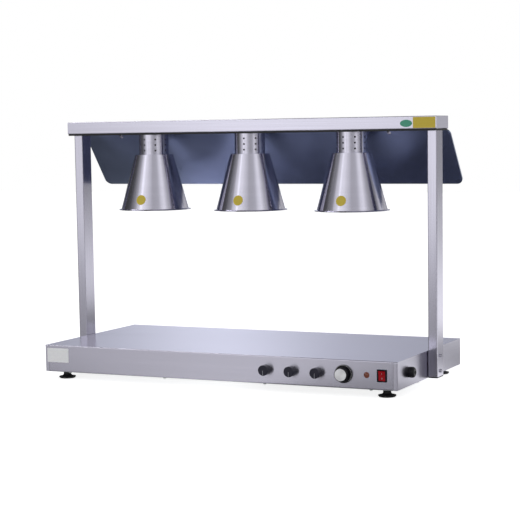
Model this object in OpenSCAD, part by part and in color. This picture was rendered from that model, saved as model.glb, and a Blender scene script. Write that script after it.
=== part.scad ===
// Infrared food warming plate: a heated stainless base on four levelling feet, two posts,
// a top rail with three hanging heat lamps and a slanted guard of dark glass behind them.
// Millimetres, Z up, X to the right and the controls facing -Y. The origin lies on the table
// under the middle of the whole outline, the knobs at the front included.

/* [Base] */
// Width of the heated base, left to right
base_w = 1000; // [900:10:1400]
// Depth of the heated base, front to back
base_d = 480; // [420:10:650]
// Height of the base box without its feet
base_h = 70; // [64:1:110]
// Thickness of the folded stainless sheet
sheet = 1.2; // [0.8:0.1:2]
// Outside radius of the folds in the sheet
fold_r = 2.4; // [2.2:0.1:5]
// How far each side panel wraps round its two corners
wrap = 10.7; // [8:0.1:16]
// Width of the lips folded in under the base
base_lip = 16; // [14:1:24]
// Width of the open seam beside each wrapped corner
seam = 0.6; // [0.2:0.1:1]
// Thickness of the bottom plate
bottom_t = 1; // [0.8:0.1:2]
// Distance from the edge of the bottom plate to the edge of the base
bottom_inset = 3; // [2:0.5:6]

/* [Heating] */
// Diameter of the tubular heating elements
element_d = 8; // [6:0.5:9]
// Number of straight runs in each element
element_runs = 4; // [2:2:4]
// Distance between neighbouring runs
element_pitch = 100; // [70:5:110]
// Distance from the side of the base to the ends of the elements
element_inset = 40; // [36:1:60]
// Distance from the middle of the base to the inner bends
element_start = 45; // [40:1:80]
// Distance from the front of the base to the insulated field
field_front = 70; // [66:1:90]
// Distance from the back of the base to the insulated field
field_back = 20; // [8:1:40]
// Height of the clamps that hold the elements to the top
clamp_h = 9.6; // [9.5:0.1:14]
// Thickness of the insulation blankets
blanket_t = 16; // [8:1:18]
// Thickness of the heat shield under the blankets
shield_t = 0.8; // [0.6:0.1:1.5]

/* [Feet] */
// Clear height under the base
foot_h = 22; // [20:1:40]
// Largest diameter of the flared foot
foot_d = 45; // [36:1:60]
// Diameter of the foot where it stands on the table
foot_tread_d = 40; // [30:1:60]
// Diameter of the hub of the foot
foot_hub_d = 20; // [16:1:26]
// Height of the widest edge of the foot above the table
foot_edge_h = 4.8; // [3:0.1:7]
// Height at which the flare meets the hub
foot_flare_h = 12; // [9:0.5:15]
// Diameter of the foot's threaded stud
stud_d = 10; // [8:1:12]
// Length of stud above the bottom plate with the foot screwed in
stud_rise = 30; // [26:1:32]
// Distance from the side of the base to the foot's centre
foot_inset_x = 42; // [40:1:60]
// Distance from the front or back of the base to the foot's centre
foot_inset_y = 40; // [38:1:50]

/* [Posts] */
// Thickness of each post, left to right
post_t = 25; // [20:1:40]
// Depth of each post, front to back
post_w = 47; // [40:1:60]
// Wall of the post tube
post_wall = 1.5; // [1:0.1:2.5]
// Outside corner radius of the post tube
post_r = 2.8; // [2.6:0.1:5]
// Washer gap between a post and the side of the base
post_gap = 1.5; // [1:0.1:3]
// Height of the rail's underside above the base's lower edge
post_h = 628; // [500:1:800]
// Height of the plug under each post
plug_h = 3; // [2:0.1:6]
// Diameter of the bolts that hold the posts
bolt_d = 6; // [5:0.5:8]
// Diameter of the bolts' heads
bolt_head_d = 10; // [9:0.5:14]
// Height of the bolts' heads
bolt_head_h = 4; // [2:0.5:6]
// Height of the lower bolt above the base's lower edge
bolt_low = 17; // [16:0.5:20]
// Distance from the upper bolt to the top of the base
bolt_high = 14; // [12:0.5:18]
// Thickness of the plates behind the post bolts
backing_t = 3; // [2:0.5:6]

/* [Rail] */
// Depth of the rail, front to back
rail_d = 90; // [84:1:130]
// Height of the rail
rail_h = 32; // [28:1:50]
// How far the rail runs past each post
rail_over = 7; // [5:0.5:30]
// Width of the lips folded in under the rail
rail_lip = 12; // [10:0.5:16]

/* [Lamps] */
// Distance between neighbouring lamps
lamp_pitch = 289; // [230:1:300]
// Outside diameter of the perforated neck
neck_d = 80; // [70:1:84]
// Height of the neck between the rail and the shade
neck_h = 58; // [56:0.5:70]
// Sheet thickness of neck and shade
shade_wall = 1; // [0.8:0.1:1.4]
// Outside diameter of the shade's flat shoulder
shade_top_d = 103.5; // [98:0.5:110]
// Outside diameter of the shade's cone at the rim
shade_d = 182.5; // [170:0.5:200]
// Outside diameter of the rolled rim
rim_d = 195; // [190:1:220]
// Radius of the bead round the rim
bead_r = 1.4; // [1.2:0.1:2]
// Height of the shade with its rim
shade_h = 149; // [140:1:180]
// Height of the flared rim
rim_h = 3.5; // [3.4:0.1:6]
// Diameter of the vent holes in the neck
vent_d = 5; // [3:0.5:7]
// Number of vent columns round the neck
vent_columns = 8; // [6:1:12]
// Number of vent rows
vent_rows = 3; // [2:1:3]
// Distance between vent rows
vent_pitch = 14.7; // [10:0.1:16]
// Distance from the rail to the first row of vents
vent_drop = 17.7; // [14:0.1:20]

/* [Bulbs] */
// Largest diameter of the reflector bulb
bulb_d = 125; // [95:1:130]
// Length of the bulb from contact to face
bulb_l = 165; // [155:1:175]
// Wall of the glass envelope
bulb_wall = 1.2; // [0.8:0.1:2]
// Diameter of the screw cap
cap_d = 26.4; // [24:0.2:27]
// Length of the screw cap
cap_l = 28; // [26:0.5:30]
// Diameter of the ceramic lampholder
holder_d = 42; // [38:1:50]
// Height of the ceramic lampholder
holder_h = 46; // [44:1:50]
// Depth of the lampholder's mouth
holder_mouth = 33; // [31:0.5:35]
// Diameter of the threaded tube that hangs each lamp
nipple_d = 10; // [9:0.5:12]

/* [Guard] */
// How far the glass runs past each end of the rail
guard_over = 1.5; // [0:0.5:40]
// Length of the glass down its slant
guard_l = 180; // [120:1:240]
// Thickness of the glass
guard_t = 5; // [4:0.5:8]
// Corner radius of the glass
guard_r = 17; // [6:1:30]
// Angle between the glass and the vertical
guard_tilt = 38.4; // [30:0.1:50]
// Distance from the rail's back face to the top edge of the glass
guard_back = 5; // [4:0.5:10]
// Distance from the rail's underside down to the top edge of the glass
guard_drop = 2.5; // [1:0.5:10]
// Place of the left fixing, from the middle of the rail
clip_left = 422; // [300:1:440]
// Place of the right fixing, from the middle of the rail
clip_right = 370; // [300:1:440]
// Width of the straps that carry the glass
clip_w = 30; // [28:1:60]
// Thickness of the straps
clip_t = 3; // [2:0.5:5]
// How far each strap reaches down behind the glass
clip_reach = 22; // [18:1:40]
// Distance from the top edge of the glass to its bolts
clip_bolt = 8; // [7:0.5:12]

/* [Controls] */
// Distance from the right side of the base to the power switch
switch_inset = 40; // [38:1:50]
// Distance from the right side of the base to the pilot lamp
pilot_inset = 80; // [76:1:90]
// Distance from the right side of the base to the thermostat
thermostat_inset = 140; // [130:1:150]
// Distance between neighbouring knobs
knob_pitch = 70; // [60:1:80]
// Diameter of the three lamp knobs
knob_d = 26.5; // [24:0.5:32]
// Length of the lamp knobs
knob_l = 20; // [18:0.5:21]
// Bevel round the front of the lamp knobs
knob_bevel = 1.4; // [0.8:0.1:2.5]
// Diameter of the thermostat knob's skirt
dial_d = 45.5; // [42:0.5:50]
// Diameter of the thermostat knob's grip
grip_d = 34; // [33:0.5:38]
// Reach of the thermostat knob in front of the base
knob_reach = 22; // [21:0.5:26]
// Diameter of the silver disc on the thermostat knob
disc_d = 30; // [24:0.5:31]
// Running gap between the knobs and the panel
knob_gap = 0.4; // [0.3:0.1:1]
// Diameter of the control shafts
shaft_d = 6; // [5:0.5:6.5]
// Running clearance round the shafts
shaft_clear = 0.05; // [0.02:0.01:0.1]
// Diameter of the threaded bushes
bush_d = 10; // [9:0.5:11]
// Side of the square dimmer bodies
dimmer_w = 30; // [26:1:36]
// Depth of the dimmer bodies behind the panel
dimmer_depth = 22; // [18:1:24]
// Width of the thermostat body
thermostat_w = 44; // [38:1:50]
// Height of the thermostat body
thermostat_h = 40; // [34:1:44]
// Depth of the thermostat body behind the panel
thermostat_depth = 28; // [22:1:29]
// Diameter of the pilot lamp's bezel
pilot_d = 15; // [13:0.5:18]
// Width of the power switch bezel
switch_w = 25.5; // [24:0.5:30]
// Height of the power switch bezel
switch_h = 31; // [30.5:0.5:36]
// Thickness of the power switch bezel
switch_bezel = 2; // [1.5:0.1:3]
// Tilt of the rocker to each side
rocker_tilt = 8; // [5:0.5:9]

/* [Supply] */
// Diameter of the cable gland
gland_d = 27; // [23:0.5:28]
// Reach of the cable gland from the side of the base
gland_reach = 16; // [13:0.5:20]
// Diameter of the cable bore through the gland
gland_bore = 9; // [6:0.5:11]
// Distance from the front of the base to the gland
gland_inset = 80; // [76:1:100]
// Length of the terminal block
block_l = 60; // [50:1:70]
// Depth and height of the terminal block
block_w = 20; // [16:1:22]

/* [Hidden] */
$fn = 64;
steel = [0.74, 0.74, 0.78];
galvanised = [0.62, 0.64, 0.66];
black = [0.07, 0.07, 0.09];
ceramic = [0.93, 0.92, 0.88];
// Clearance round fixed fasteners, and the gap left between soft or curved neighbours
play = 0.15;
rest_gap = 0.3;

base_z = foot_h;
top_z = base_z + base_h;
plate_z = top_z - sheet;
half_w = base_w / 2;
half_d = base_d / 2;
control_z = base_z + base_h / 2;

// Stack of the heated field, downwards from the top plate
element_z = plate_z - rest_gap - element_d / 2;
blanket_z = plate_z - clamp_h - blanket_t;
shield_z = blanket_z - shield_t;
field_y0 = -half_d + field_front;
field_y1 = half_d - field_back;
field_y = (field_y0 + field_y1) / 2;
field_x = half_w - element_inset - 10;
element_bend = element_pitch / 2;
element_x0 = element_start + element_bend + element_d / 2;
element_x1 = half_w - element_inset - element_bend - element_d / 2;
element_y0 = field_y - (element_runs - 1) * element_bend;
clamp_w = 26;
clamp_l = 12;
hat_w = 60;
hat_crown = 36;

foot_x = half_w - foot_inset_x;
foot_y = half_d - foot_inset_y;
nut_h = 14;

post_x = half_w + post_gap + post_t / 2;
post_out = half_w + post_gap + post_t;
plug_z = base_z + 0.7;
rail_z = base_z + post_h;
rail_x = post_out + rail_over;
rail_plate_z = rail_z + sheet;
rail_plate_t = 1.2;
bolt_z = [base_z + bolt_low, base_z + base_h - bolt_high];
post_wire_z = (bolt_z[0] + bolt_z[1]) / 2;
post_wire_y = -14;
backing_h = bolt_z[1] - bolt_z[0] + 20;
backing_w = 44;
head_t = 3;
spigot_l = 30;
screw_d = 4;
screw_head_d = 8;
screw_head_h = 2.4;

neck_disc_t = 1.2;
shade_z = rail_z - neck_h;
rim_z = shade_z - shade_h;
// Turn of each lamp's vent columns, as the lamps were screwed on
vent_turn = [35, 3, 35];
nipple_nut_h = 4;
nipple_nut_d = 19;
nipple_sink = 8;
holder_top = rail_z - neck_disc_t - nipple_nut_h;
contact_z = holder_top - holder_h + holder_mouth;
// The bulb swells below the lampholder's mouth
bulb_neck_l = holder_mouth + 1;

clip_x = [-clip_left, clip_right];
guard_y = rail_d / 2 + guard_back;
guard_z = rail_z - guard_drop;
clip_screw_z = rail_z + rail_h - 11;

switch_x = half_w - switch_inset;
pilot_x = half_w - pilot_inset;
thermostat_x = half_w - thermostat_inset;
knob_x = [for (i = [3:-1:1]) thermostat_x - i * knob_pitch];
bush_l = 8;
control_nut_d = 16;
control_nut_h = 2.5;
recess_d = 19.5;
recess_l = 7.5;
shaft_in = 12;
shaft_out = 15;
skirt_l = 5;
disc_t = 1;
rocker_w = 17;
rocker_half = 12;
rocker_pivot = -3;
rocker_pin_d = 3;
mouth_w = rocker_w + 0.6;
mouth_h = 26;
housing_w = 21.8;
housing_h = 28;
housing_depth = 22;

gland_y = -half_d + gland_inset;
gland_thread_d = 16;
gland_in = 8;
gland_flange = 3;
locknut_d = 24;
locknut_h = 4;
block_inset = [85, 90];
block_x = half_w - block_inset[0];
block_y = -half_d + block_inset[1];

trunk_r = 4;
wire_r = 1.5;
sleeve_r = 3;
trunk_y = -half_d + 45;
trunk_z = base_z + 10;
probe_d = 6;
probe_l = 80;
probe_gap = 16;
probe_inset = 60;
probe_y = element_y0 - (element_d + probe_d) / 2 - probe_gap;
wire_sides = 8;

// Moves the object back so that its outline, knobs included, is centred on the origin
module placed() {
    translate([0, knob_reach / 2, 0]) children();
}

// Turns an outline drawn in Y and Z into a bar along X, centred
module along_x(length) {
    rotate([90, 0, 90]) linear_extrude(length, center = true) children();
}

// Stands children drawn along Z on the front panel at x, pointing out of it
module on_front(x) {
    translate([x, -half_d, control_z]) rotate([90, 0, 0]) children();
}

// Stands children drawn along Z on the right side panel, pointing out of it
module on_side(y, z) {
    translate([half_w, y, z]) rotate([90, 0, 90]) children();
}

// Rectangle with round corners, centred
module round_rect(w, h, r) {
    square([w - 2 * r, h], center = true);
    square([w, h - 2 * r], center = true);
    for (x = [-1, 1], y = [-1, 1])
        translate([x * (w / 2 - r), y * (h / 2 - r)]) circle(r);
}

// Outline of a sheet folded into a box that is open below between two lips
module folded_box(w, h, t, r, lip) {
    difference() {
        translate([0, h / 2]) round_rect(w, h, r);
        translate([0, h / 2]) round_rect(w - 2 * t, h - 2 * t, r - t);
        translate([lip - w / 2, -1]) square([w - 2 * lip, 2 * t + 1]);
    }
}

// Outline of the base's walls seen from above
module wall_ring() {
    difference() {
        round_rect(base_w, base_d, fold_r);
        round_rect(base_w - 2 * sheet, base_d - 2 * sheet, fold_r - sheet);
    }
}

module hex_nut(corner_d, h, bore_d) {
    difference() {
        cylinder(d = corner_d, h = h, $fn = 6);
        translate([0, 0, -1]) cylinder(d = bore_d, h = h + 2);
    }
}

// Cross-headed pan screw, head under Z = 0 and shank above it
module pan_screw(length) {
    crown = screw_head_h / 3;
    difference() {
        union() {
            cylinder(d = screw_d, h = length);
            rotate_extrude() polygon([
                [0, 0], [screw_head_d / 2, 0], [screw_head_d / 2, crown - screw_head_h],
                [screw_head_d / 2 - crown, -screw_head_h], [0, -screw_head_h]
            ]);
        }
        for (turn = [0, 90])
            rotate([0, 0, turn])
                translate([-screw_d / 2, -0.4, -screw_head_h - 1]) cube([screw_d, 0.8, 2]);
    }
}

// Places of the screws under the base, [x, y]
cover_screw_places = concat(
    [for (i = [-3:2:3], side = [-1, 1]) [i * base_w / 7, side * (half_d - base_lip / 2)]],
    [for (side = [-1, 1], y = [-1, 1]) [side * (half_w - base_lip / 2), y * base_d / 6]]
);

// Places of the screws under the rail, [x, y]
rail_screw_places = [
    for (i = [-3:2:3], side = [-1, 1]) [i * lamp_pitch / 2, side * (rail_d - rail_lip) / 2]
];

// Base

module top_cover() {
    full = base_w - 2 * (wrap + seam);
    placed() color(steel) difference() {
        translate([0, 0, base_z]) intersection() {
            along_x(base_w) folded_box(base_d, base_h, sheet, fold_r, base_lip);
            union() {
                translate([-full / 2, -base_d, -1]) cube([full, 2 * base_d, base_h + 2]);
                translate([-half_w, -base_d, base_h - fold_r]) cube([base_w, 2 * base_d, 2 * fold_r]);
            }
        }
        for (x = [each knob_x, thermostat_x])
            on_front(x) translate([0, 0, -9]) cylinder(d = bush_d + 2 * play, h = 18);
        on_front(pilot_x) translate([0, 0, -9]) cylinder(d = pilot_d - 4 + 2 * play, h = 18);
        on_front(switch_x)
            cube([housing_w + 2 * play, housing_h + 2 * play, 18], center = true);
        for (p = cover_screw_places)
            translate([p[0], p[1], base_z - 1]) cylinder(d = screw_d + 2 * play, h = sheet + 2);
    }
}

// Side panel on the right: a web, two wrapped corners and a lip at the bottom
module side_panel() {
    lip_l = base_d - 2 * base_lip - 4;
    difference() {
        translate([0, 0, base_z]) {
            linear_extrude(base_h - fold_r) intersection() {
                wall_ring();
                translate([half_w - wrap, -base_d]) square([2 * wrap, 2 * base_d]);
            }
            translate([half_w - sheet, fold_r - half_d, base_h - fold_r - 1])
                cube([sheet, base_d - 2 * fold_r, fold_r - sheet + 1]);
            translate([half_w - base_lip, -lip_l / 2, 0]) cube([base_lip - sheet / 2, lip_l, sheet]);
        }
        for (z = bolt_z)
            on_side(0, z) translate([0, 0, -9]) cylinder(d = bolt_d + 2 * play, h = 18);
        for (p = cover_screw_places)
            translate([p[0], p[1], base_z - 1]) cylinder(d = screw_d + 2 * play, h = sheet + 2);
    }
}

module left_side_panel() {
    placed() color(steel) mirror([1, 0, 0]) side_panel();
}

module right_side_panel() {
    placed() color(steel) difference() {
        side_panel();
        on_side(gland_y, control_z)
            translate([0, 0, -9]) cylinder(d = gland_thread_d + 2 * play, h = 18);
        on_side(post_wire_y, post_wire_z)
            translate([0, 0, -9]) cylinder(r = sleeve_r + rest_gap, h = 18);
    }
}

module bottom_plate() {
    w = base_w - 2 * bottom_inset;
    d = base_d - 2 * bottom_inset;
    placed() color(galvanised) difference() {
        translate([-w / 2, -d / 2, base_z - bottom_t]) cube([w, d, bottom_t]);
        for (x = [-foot_x, foot_x], y = [-foot_y, foot_y])
            translate([x, y, base_z - bottom_t - 1])
                cylinder(d = stud_d + 2 * shaft_clear, h = bottom_t + 2);
        for (p = cover_screw_places)
            translate([p[0], p[1], base_z - bottom_t - 1])
                cylinder(d = screw_d + 2 * play, h = bottom_t + 2);
    }
}

// Hat channel under the middle of the top plate, from the front fold to the back one
module top_stiffener() {
    depth = clamp_h + blanket_t;
    crown = hat_crown / 2;
    placed() color(galvanised)
        translate([0, 0, plate_z]) rotate([90, 0, 0])
            linear_extrude(base_d - 2 * fold_r, center = true) polygon([
                [-hat_w / 2, 0], [sheet - crown, 0], [sheet - crown, sheet - depth],
                [crown - sheet, sheet - depth], [crown - sheet, 0], [hat_w / 2, 0],
                [hat_w / 2, -sheet], [crown, -sheet], [crown, -depth], [-crown, -depth],
                [-crown, -sheet], [-hat_w / 2, -sheet]
            ]);
}

// Serpentine element of the right half, both terminals outboard
module heating_element() {
    last = element_runs - 1;
    for (i = [0:last]) {
        end = (i == 0 || i == last) ? half_w - element_inset : element_x1;
        translate([element_x0, element_y0 + i * element_pitch, element_z])
            rotate([0, 90, 0]) cylinder(d = element_d, h = end - element_x0);
    }
    for (i = [0:last - 1]) {
        inner = i % 2 == 0;
        translate([inner ? element_x0 : element_x1, element_y0 + (i + 0.5) * element_pitch, element_z])
            rotate([0, 0, inner ? 90 : -90])
                rotate_extrude(angle = 180) translate([element_bend, 0]) circle(d = element_d);
    }
}

module heating_elements() {
    placed() color([0.35, 0.33, 0.33]) for (side = [0, 1])
        mirror([side, 0, 0]) heating_element();
}

module element_clamps() {
    bore = element_d / 2 + play;
    placed() color(galvanised)
        for (side = [-1, 1], x = [element_x0 + 20, element_x1 - 20], i = [0:element_runs - 1])
            translate([side * x, element_y0 + i * element_pitch, plate_z - clamp_h]) difference() {
                translate([-clamp_l / 2, -clamp_w / 2, 0]) cube([clamp_l, clamp_w, clamp_h]);
                translate([0, 0, element_z + clamp_h - plate_z])
                    rotate([0, 90, 0]) cylinder(r = bore, h = clamp_l + 2, center = true);
            }
}

module insulation_blankets() {
    inner = hat_w / 2 + 2;
    placed() color([0.85, 0.82, 0.66]) for (side = [0, 1])
        mirror([side, 0, 0]) translate([inner, field_y0, blanket_z])
            cube([field_x - inner, field_y1 - field_y0, blanket_t]);
}

module heat_shield() {
    placed() color(galvanised) translate([-field_x, field_y0, shield_z])
        cube([2 * field_x, field_y1 - field_y0, shield_t]);
}

module foot_nuts() {
    placed() color(galvanised) for (x = [-foot_x, foot_x], y = [-foot_y, foot_y])
        translate([x, y, base_z])
            hex_nut(2 * stud_d, nut_h, stud_d + 2 * shaft_clear);
}

// Flared foot moulded on its threaded stud
module foot(x, y) {
    hub_top = base_z - bottom_t - rest_gap;
    stud_z = foot_edge_h + 2;
    hub = foot_hub_d / 2;
    flare = [for (a = [0:15:90]) [
        hub + (foot_d / 2 - hub) * (1 - sin(a)),
        foot_edge_h + (foot_flare_h - foot_edge_h) * (1 - cos(a))
    ]];
    placed() translate([x, y, 0]) {
        color(black) difference() {
            rotate_extrude() polygon(concat(
                [[0, 0], [foot_tread_d / 2, 0], [foot_d / 2, foot_edge_h - 2]],
                flare, [[hub, hub_top], [0, hub_top]]
            ));
            translate([0, 0, stud_z - play]) cylinder(d = stud_d + 2 * play, h = hub_top);
        }
        color(galvanised) translate([0, 0, stud_z])
            cylinder(d = stud_d, h = base_z + stud_rise - stud_z);
    }
}

module front_left_foot() {
    foot(-foot_x, -foot_y);
}

module front_right_foot() {
    foot(foot_x, -foot_y);
}

module back_left_foot() {
    foot(-foot_x, foot_y);
}

module back_right_foot() {
    foot(foot_x, foot_y);
}

// Posts

// Post tube of the right side
module post() {
    tube_z = plug_z + plug_h;
    difference() {
        translate([post_x, 0, tube_z]) linear_extrude(rail_plate_z - tube_z) difference() {
            round_rect(post_t, post_w, post_r);
            round_rect(post_t - 2 * post_wall, post_w - 2 * post_wall, post_r - post_wall);
        }
        for (z = bolt_z)
            on_side(0, z) cylinder(d = bolt_d + 2 * play, h = 2 * post_t);
    }
}

module left_post() {
    placed() color(steel) mirror([1, 0, 0]) post();
}

module right_post() {
    placed() color(steel) difference() {
        post();
        on_side(post_wire_y, post_wire_z) cylinder(r = sleeve_r + rest_gap, h = post_gap + post_t / 2);
    }
}

module post_end_plugs() {
    spigot = 2 * (post_wall + play);
    placed() color(black) for (side = [-1, 1])
        translate([side * post_x, 0, plug_z]) {
            linear_extrude(plug_h) round_rect(post_t, post_w, post_r);
            linear_extrude(plug_h + 4) round_rect(post_t - spigot, post_w - spigot, post_r - post_wall);
        }
}

module post_bolts() {
    inner = sheet + backing_t + 3;
    placed() color(galvanised) for (side = [0, 1], z = bolt_z)
        mirror([side, 0, 0]) on_side(0, z) {
            translate([0, 0, -inner]) cylinder(d = bolt_d, h = inner + post_gap + post_t + 1);
            translate([0, 0, post_gap + post_t])
                cylinder(d1 = bolt_head_d, d2 = bolt_head_d - 2, h = bolt_head_h);
            difference() {
                cylinder(d = 2 * bolt_d, h = post_gap);
                translate([0, 0, -1]) cylinder(d = bolt_d + 2 * play, h = post_gap + 2);
            }
        }
}

module post_backing_plates() {
    placed() color(galvanised) for (side = [0, 1])
        mirror([side, 0, 0]) difference() {
            translate([half_w - sheet - backing_t, -backing_w / 2, post_wire_z - backing_h / 2])
                cube([backing_t, backing_w, backing_h]);
            for (z = bolt_z)
                on_side(0, z) translate([0, 0, -9]) cylinder(d = bolt_d + 2 * play, h = 18);
            for (y = [-post_wire_y, post_wire_y])
                on_side(y, post_wire_z) translate([0, 0, -9]) cylinder(r = sleeve_r + rest_gap, h = 18);
        }
}

// Rail

module top_rail() {
    placed() color(steel) difference() {
        translate([0, 0, rail_z]) along_x(2 * rail_x) folded_box(rail_d, rail_h, sheet, fold_r, rail_lip);
        for (p = rail_screw_places)
            translate([p[0], p[1], rail_z - 1]) cylinder(d = screw_d + 2 * play, h = sheet + 2);
        for (x = clip_x, dx = [-1, 1])
            translate([x + dx * clip_w / 4, 0, clip_screw_z])
                rotate([-90, 0, 0]) cylinder(d = screw_d + 2 * play, h = rail_d);
    }
}

module rail_bottom_plate() {
    w = 2 * (rail_x - sheet - play);
    d = rail_d - 2 * fold_r;
    placed() color(steel) difference() {
        translate([-w / 2, -d / 2, rail_plate_z]) cube([w, d, rail_plate_t]);
        for (p = rail_screw_places)
            translate([p[0], p[1], rail_z]) cylinder(d = screw_d + 2 * play, h = rail_h);
        for (i = [-1:1])
            translate([i * lamp_pitch, 0, rail_z]) cylinder(d = nipple_d + 2 * play, h = rail_h);
        for (side = [-1, 1])
            translate([side * post_x, 0, rail_z]) linear_extrude(rail_h) spigot_outline(-play);
    }
}

module rail_end_caps() {
    inner_h = rail_h - 2 * sheet;
    placed() color(steel) for (side = [-1, 1])
        translate([side * (rail_x - sheet / 2), 0, rail_plate_z + inner_h / 2])
            along_x(sheet) round_rect(rail_d - 2 * sheet, inner_h, fold_r - sheet);
}

// Section of the spigot that fills a post's top, smaller all round by inset
module spigot_outline(inset) {
    gap = 2 * (post_wall + 2 * play + inset);
    round_rect(post_t - gap, post_w - gap, max(post_r - post_wall, 0.5));
}

// Flanged spigots that join the posts to the rail
module post_head_brackets() {
    flange_t = post_t + 2 * (rail_over - sheet - 1);
    wall = 3;
    placed() color(galvanised) for (side = [-1, 1])
        translate([side * post_x, 0, 0]) difference() {
            union() {
                translate([-flange_t / 2, -post_w / 2 - 10, rail_plate_z + rail_plate_t])
                    cube([flange_t, post_w + 20, head_t]);
                translate([0, 0, rail_plate_z + rail_plate_t + 1 - spigot_l])
                    linear_extrude(spigot_l) spigot_outline(0);
            }
            translate([0, 0, rail_plate_z - spigot_l]) linear_extrude(2 * spigot_l) spigot_outline(wall);
        }
}

module cover_screws() {
    length = 8;
    placed() color(galvanised) {
        for (p = cover_screw_places)
            translate([p[0], p[1], base_z - bottom_t]) pan_screw(length);
        for (p = rail_screw_places)
            translate([p[0], p[1], rail_z]) pan_screw(length);
        for (x = clip_x, dx = [-1, 1])
            translate([x + dx * clip_w / 4, rail_d / 2 + clip_t, clip_screw_z])
                rotate([90, 0, 0]) pan_screw(length);
    }
}

// Lamps

// Perforated neck: closed above against the rail, flanged below inside the shade
module lamp_neck(i) {
    r = neck_d / 2;
    bottom = shade_z - 2 * shade_wall;
    placed() color(steel) translate([i * lamp_pitch, 0, 0]) difference() {
        union() {
            translate([0, 0, bottom]) cylinder(r = r, h = rail_z - bottom);
            translate([0, 0, bottom]) cylinder(r = r + 5, h = shade_wall);
        }
        translate([0, 0, bottom - 1])
            cylinder(r = r - shade_wall, h = rail_z - neck_disc_t - bottom + 1);
        translate([0, 0, bottom]) cylinder(d = nipple_d + 2 * play, h = rail_z);
        for (column = [0:vent_columns - 1], row = [0:vent_rows - 1])
            translate([0, 0, rail_z - vent_drop - row * vent_pitch])
                rotate([0, 0, vent_turn[i + 1] - 90 + column * 360 / vent_columns])
                    rotate([0, 90, 0]) translate([0, 0, r / 2]) cylinder(d = vent_d, h = r);
    }
}

// Spun shade: flat shoulder, straight cone, flared lip and rolled bead
module lamp_shade(i) {
    hole = neck_d / 2 + rest_gap;
    top = shade_top_d / 2;
    cone = shade_d / 2;
    lip = rim_d / 2 - bead_r;
    placed() color(steel) translate([i * lamp_pitch, 0, rim_z]) {
        rotate_extrude() polygon([
            [hole, shade_h], [top, shade_h], [cone, rim_h], [lip, bead_r + shade_wall / 2],
            [lip, bead_r - shade_wall / 2], [cone - shade_wall, rim_h - shade_wall],
            [top - shade_wall, shade_h - shade_wall], [hole, shade_h - shade_wall]
        ]);
        rotate_extrude() translate([lip, bead_r]) circle(bead_r);
    }
}

module lampholder(i) {
    foot_z = holder_top - holder_h;
    placed() color(ceramic) translate([i * lamp_pitch, 0, 0]) difference() {
        union() {
            translate([0, 0, foot_z]) cylinder(d = holder_d, h = holder_h - 6);
            translate([0, 0, holder_top - 6]) cylinder(d1 = holder_d, d2 = holder_d - 10, h = 6);
        }
        translate([0, 0, foot_z - 1]) cylinder(d = cap_d + 2, h = holder_mouth + 1);
        translate([0, 0, holder_top - nipple_sink]) cylinder(d = nipple_d, h = nipple_sink + 1);
    }
}

// Outline of the glass envelope, smaller all round by inset, measured down from the contact
function bulb_side(inset) = [for (t = [0:0.1:1]) [
    cap_d / 2 - 1 - inset + (bulb_d / 2 - cap_d / 2 + 1) * sin(90 * t),
    -bulb_neck_l - (bulb_l - bulb_neck_l - bulb_d / 5) * t
]];
function bulb_face(inset) = [for (a = [10:10:90]) [
    (bulb_d / 2 - inset) * pow(cos(a), 0.6),
    -bulb_l + bulb_d / 5 - (bulb_d / 5 - inset) * sin(a)
]];

module bulb(i) {
    placed() color([0.9, 0.88, 0.85, 0.5]) translate([i * lamp_pitch, 0, contact_z])
        rotate_extrude() difference() {
            polygon(concat([[0, -cap_l], [cap_d / 2 - 1, -cap_l]], bulb_side(0), bulb_face(0)));
            polygon(concat([[0, 1 - cap_l], [cap_d / 2 - 1 - bulb_wall, 1 - cap_l]],
                bulb_side(bulb_wall), bulb_face(bulb_wall)));
        }
}

// Screw caps with five rounded turns and a contact at the top
module bulb_caps() {
    turn = 3.6;
    ridge = [for (k = [0:5], up = [0, 1]) [cap_d / 2 - (up == 0 ? 1 : 0), -5 - (k + up / 2) * turn]];
    placed() color([0.78, 0.72, 0.5]) for (i = [-1:1])
        translate([i * lamp_pitch, 0, contact_z]) rotate_extrude() polygon(concat(
            [[0, 0], [4, 0], [5, -2], [9, -3]], ridge, [[cap_d / 2 - 1, -cap_l], [0, -cap_l]]
        ));
}

// Threaded tubes that hang the lamps, each with a nut above the rail plate and one under the neck
module lamp_nipples() {
    low = holder_top - nipple_sink;
    high = rail_plate_z + rail_plate_t + nipple_nut_h + 2;
    placed() color(galvanised) for (i = [-1:1]) translate([i * lamp_pitch, 0, 0]) {
        translate([0, 0, low]) difference() {
            cylinder(d = nipple_d, h = high - low);
            translate([0, 0, -1]) cylinder(d = nipple_d - 3, h = high - low + 2);
        }
        for (z = [holder_top, rail_plate_z + rail_plate_t])
            translate([0, 0, z]) hex_nut(nipple_nut_d, nipple_nut_h, nipple_d + 2 * play);
    }
}

// Guard

// Lays children on the front face of the glass: X along it, Y up its slant, Z out of its front
module on_guard() {
    translate([0, guard_y, guard_z]) rotate([90 + guard_tilt, 0, 0]) children();
}

module guard_glass() {
    w = 2 * (rail_x + guard_over);
    placed() color([0.12, 0.13, 0.18, 0.8]) on_guard() difference() {
        translate([0, -guard_l / 2, -guard_t]) linear_extrude(guard_t) round_rect(w, guard_l, guard_r);
        for (x = clip_x)
            translate([x, -clip_bolt, -guard_t - 1]) cylinder(d = bolt_d + 2 * play, h = guard_t + 2);
    }
}

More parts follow.
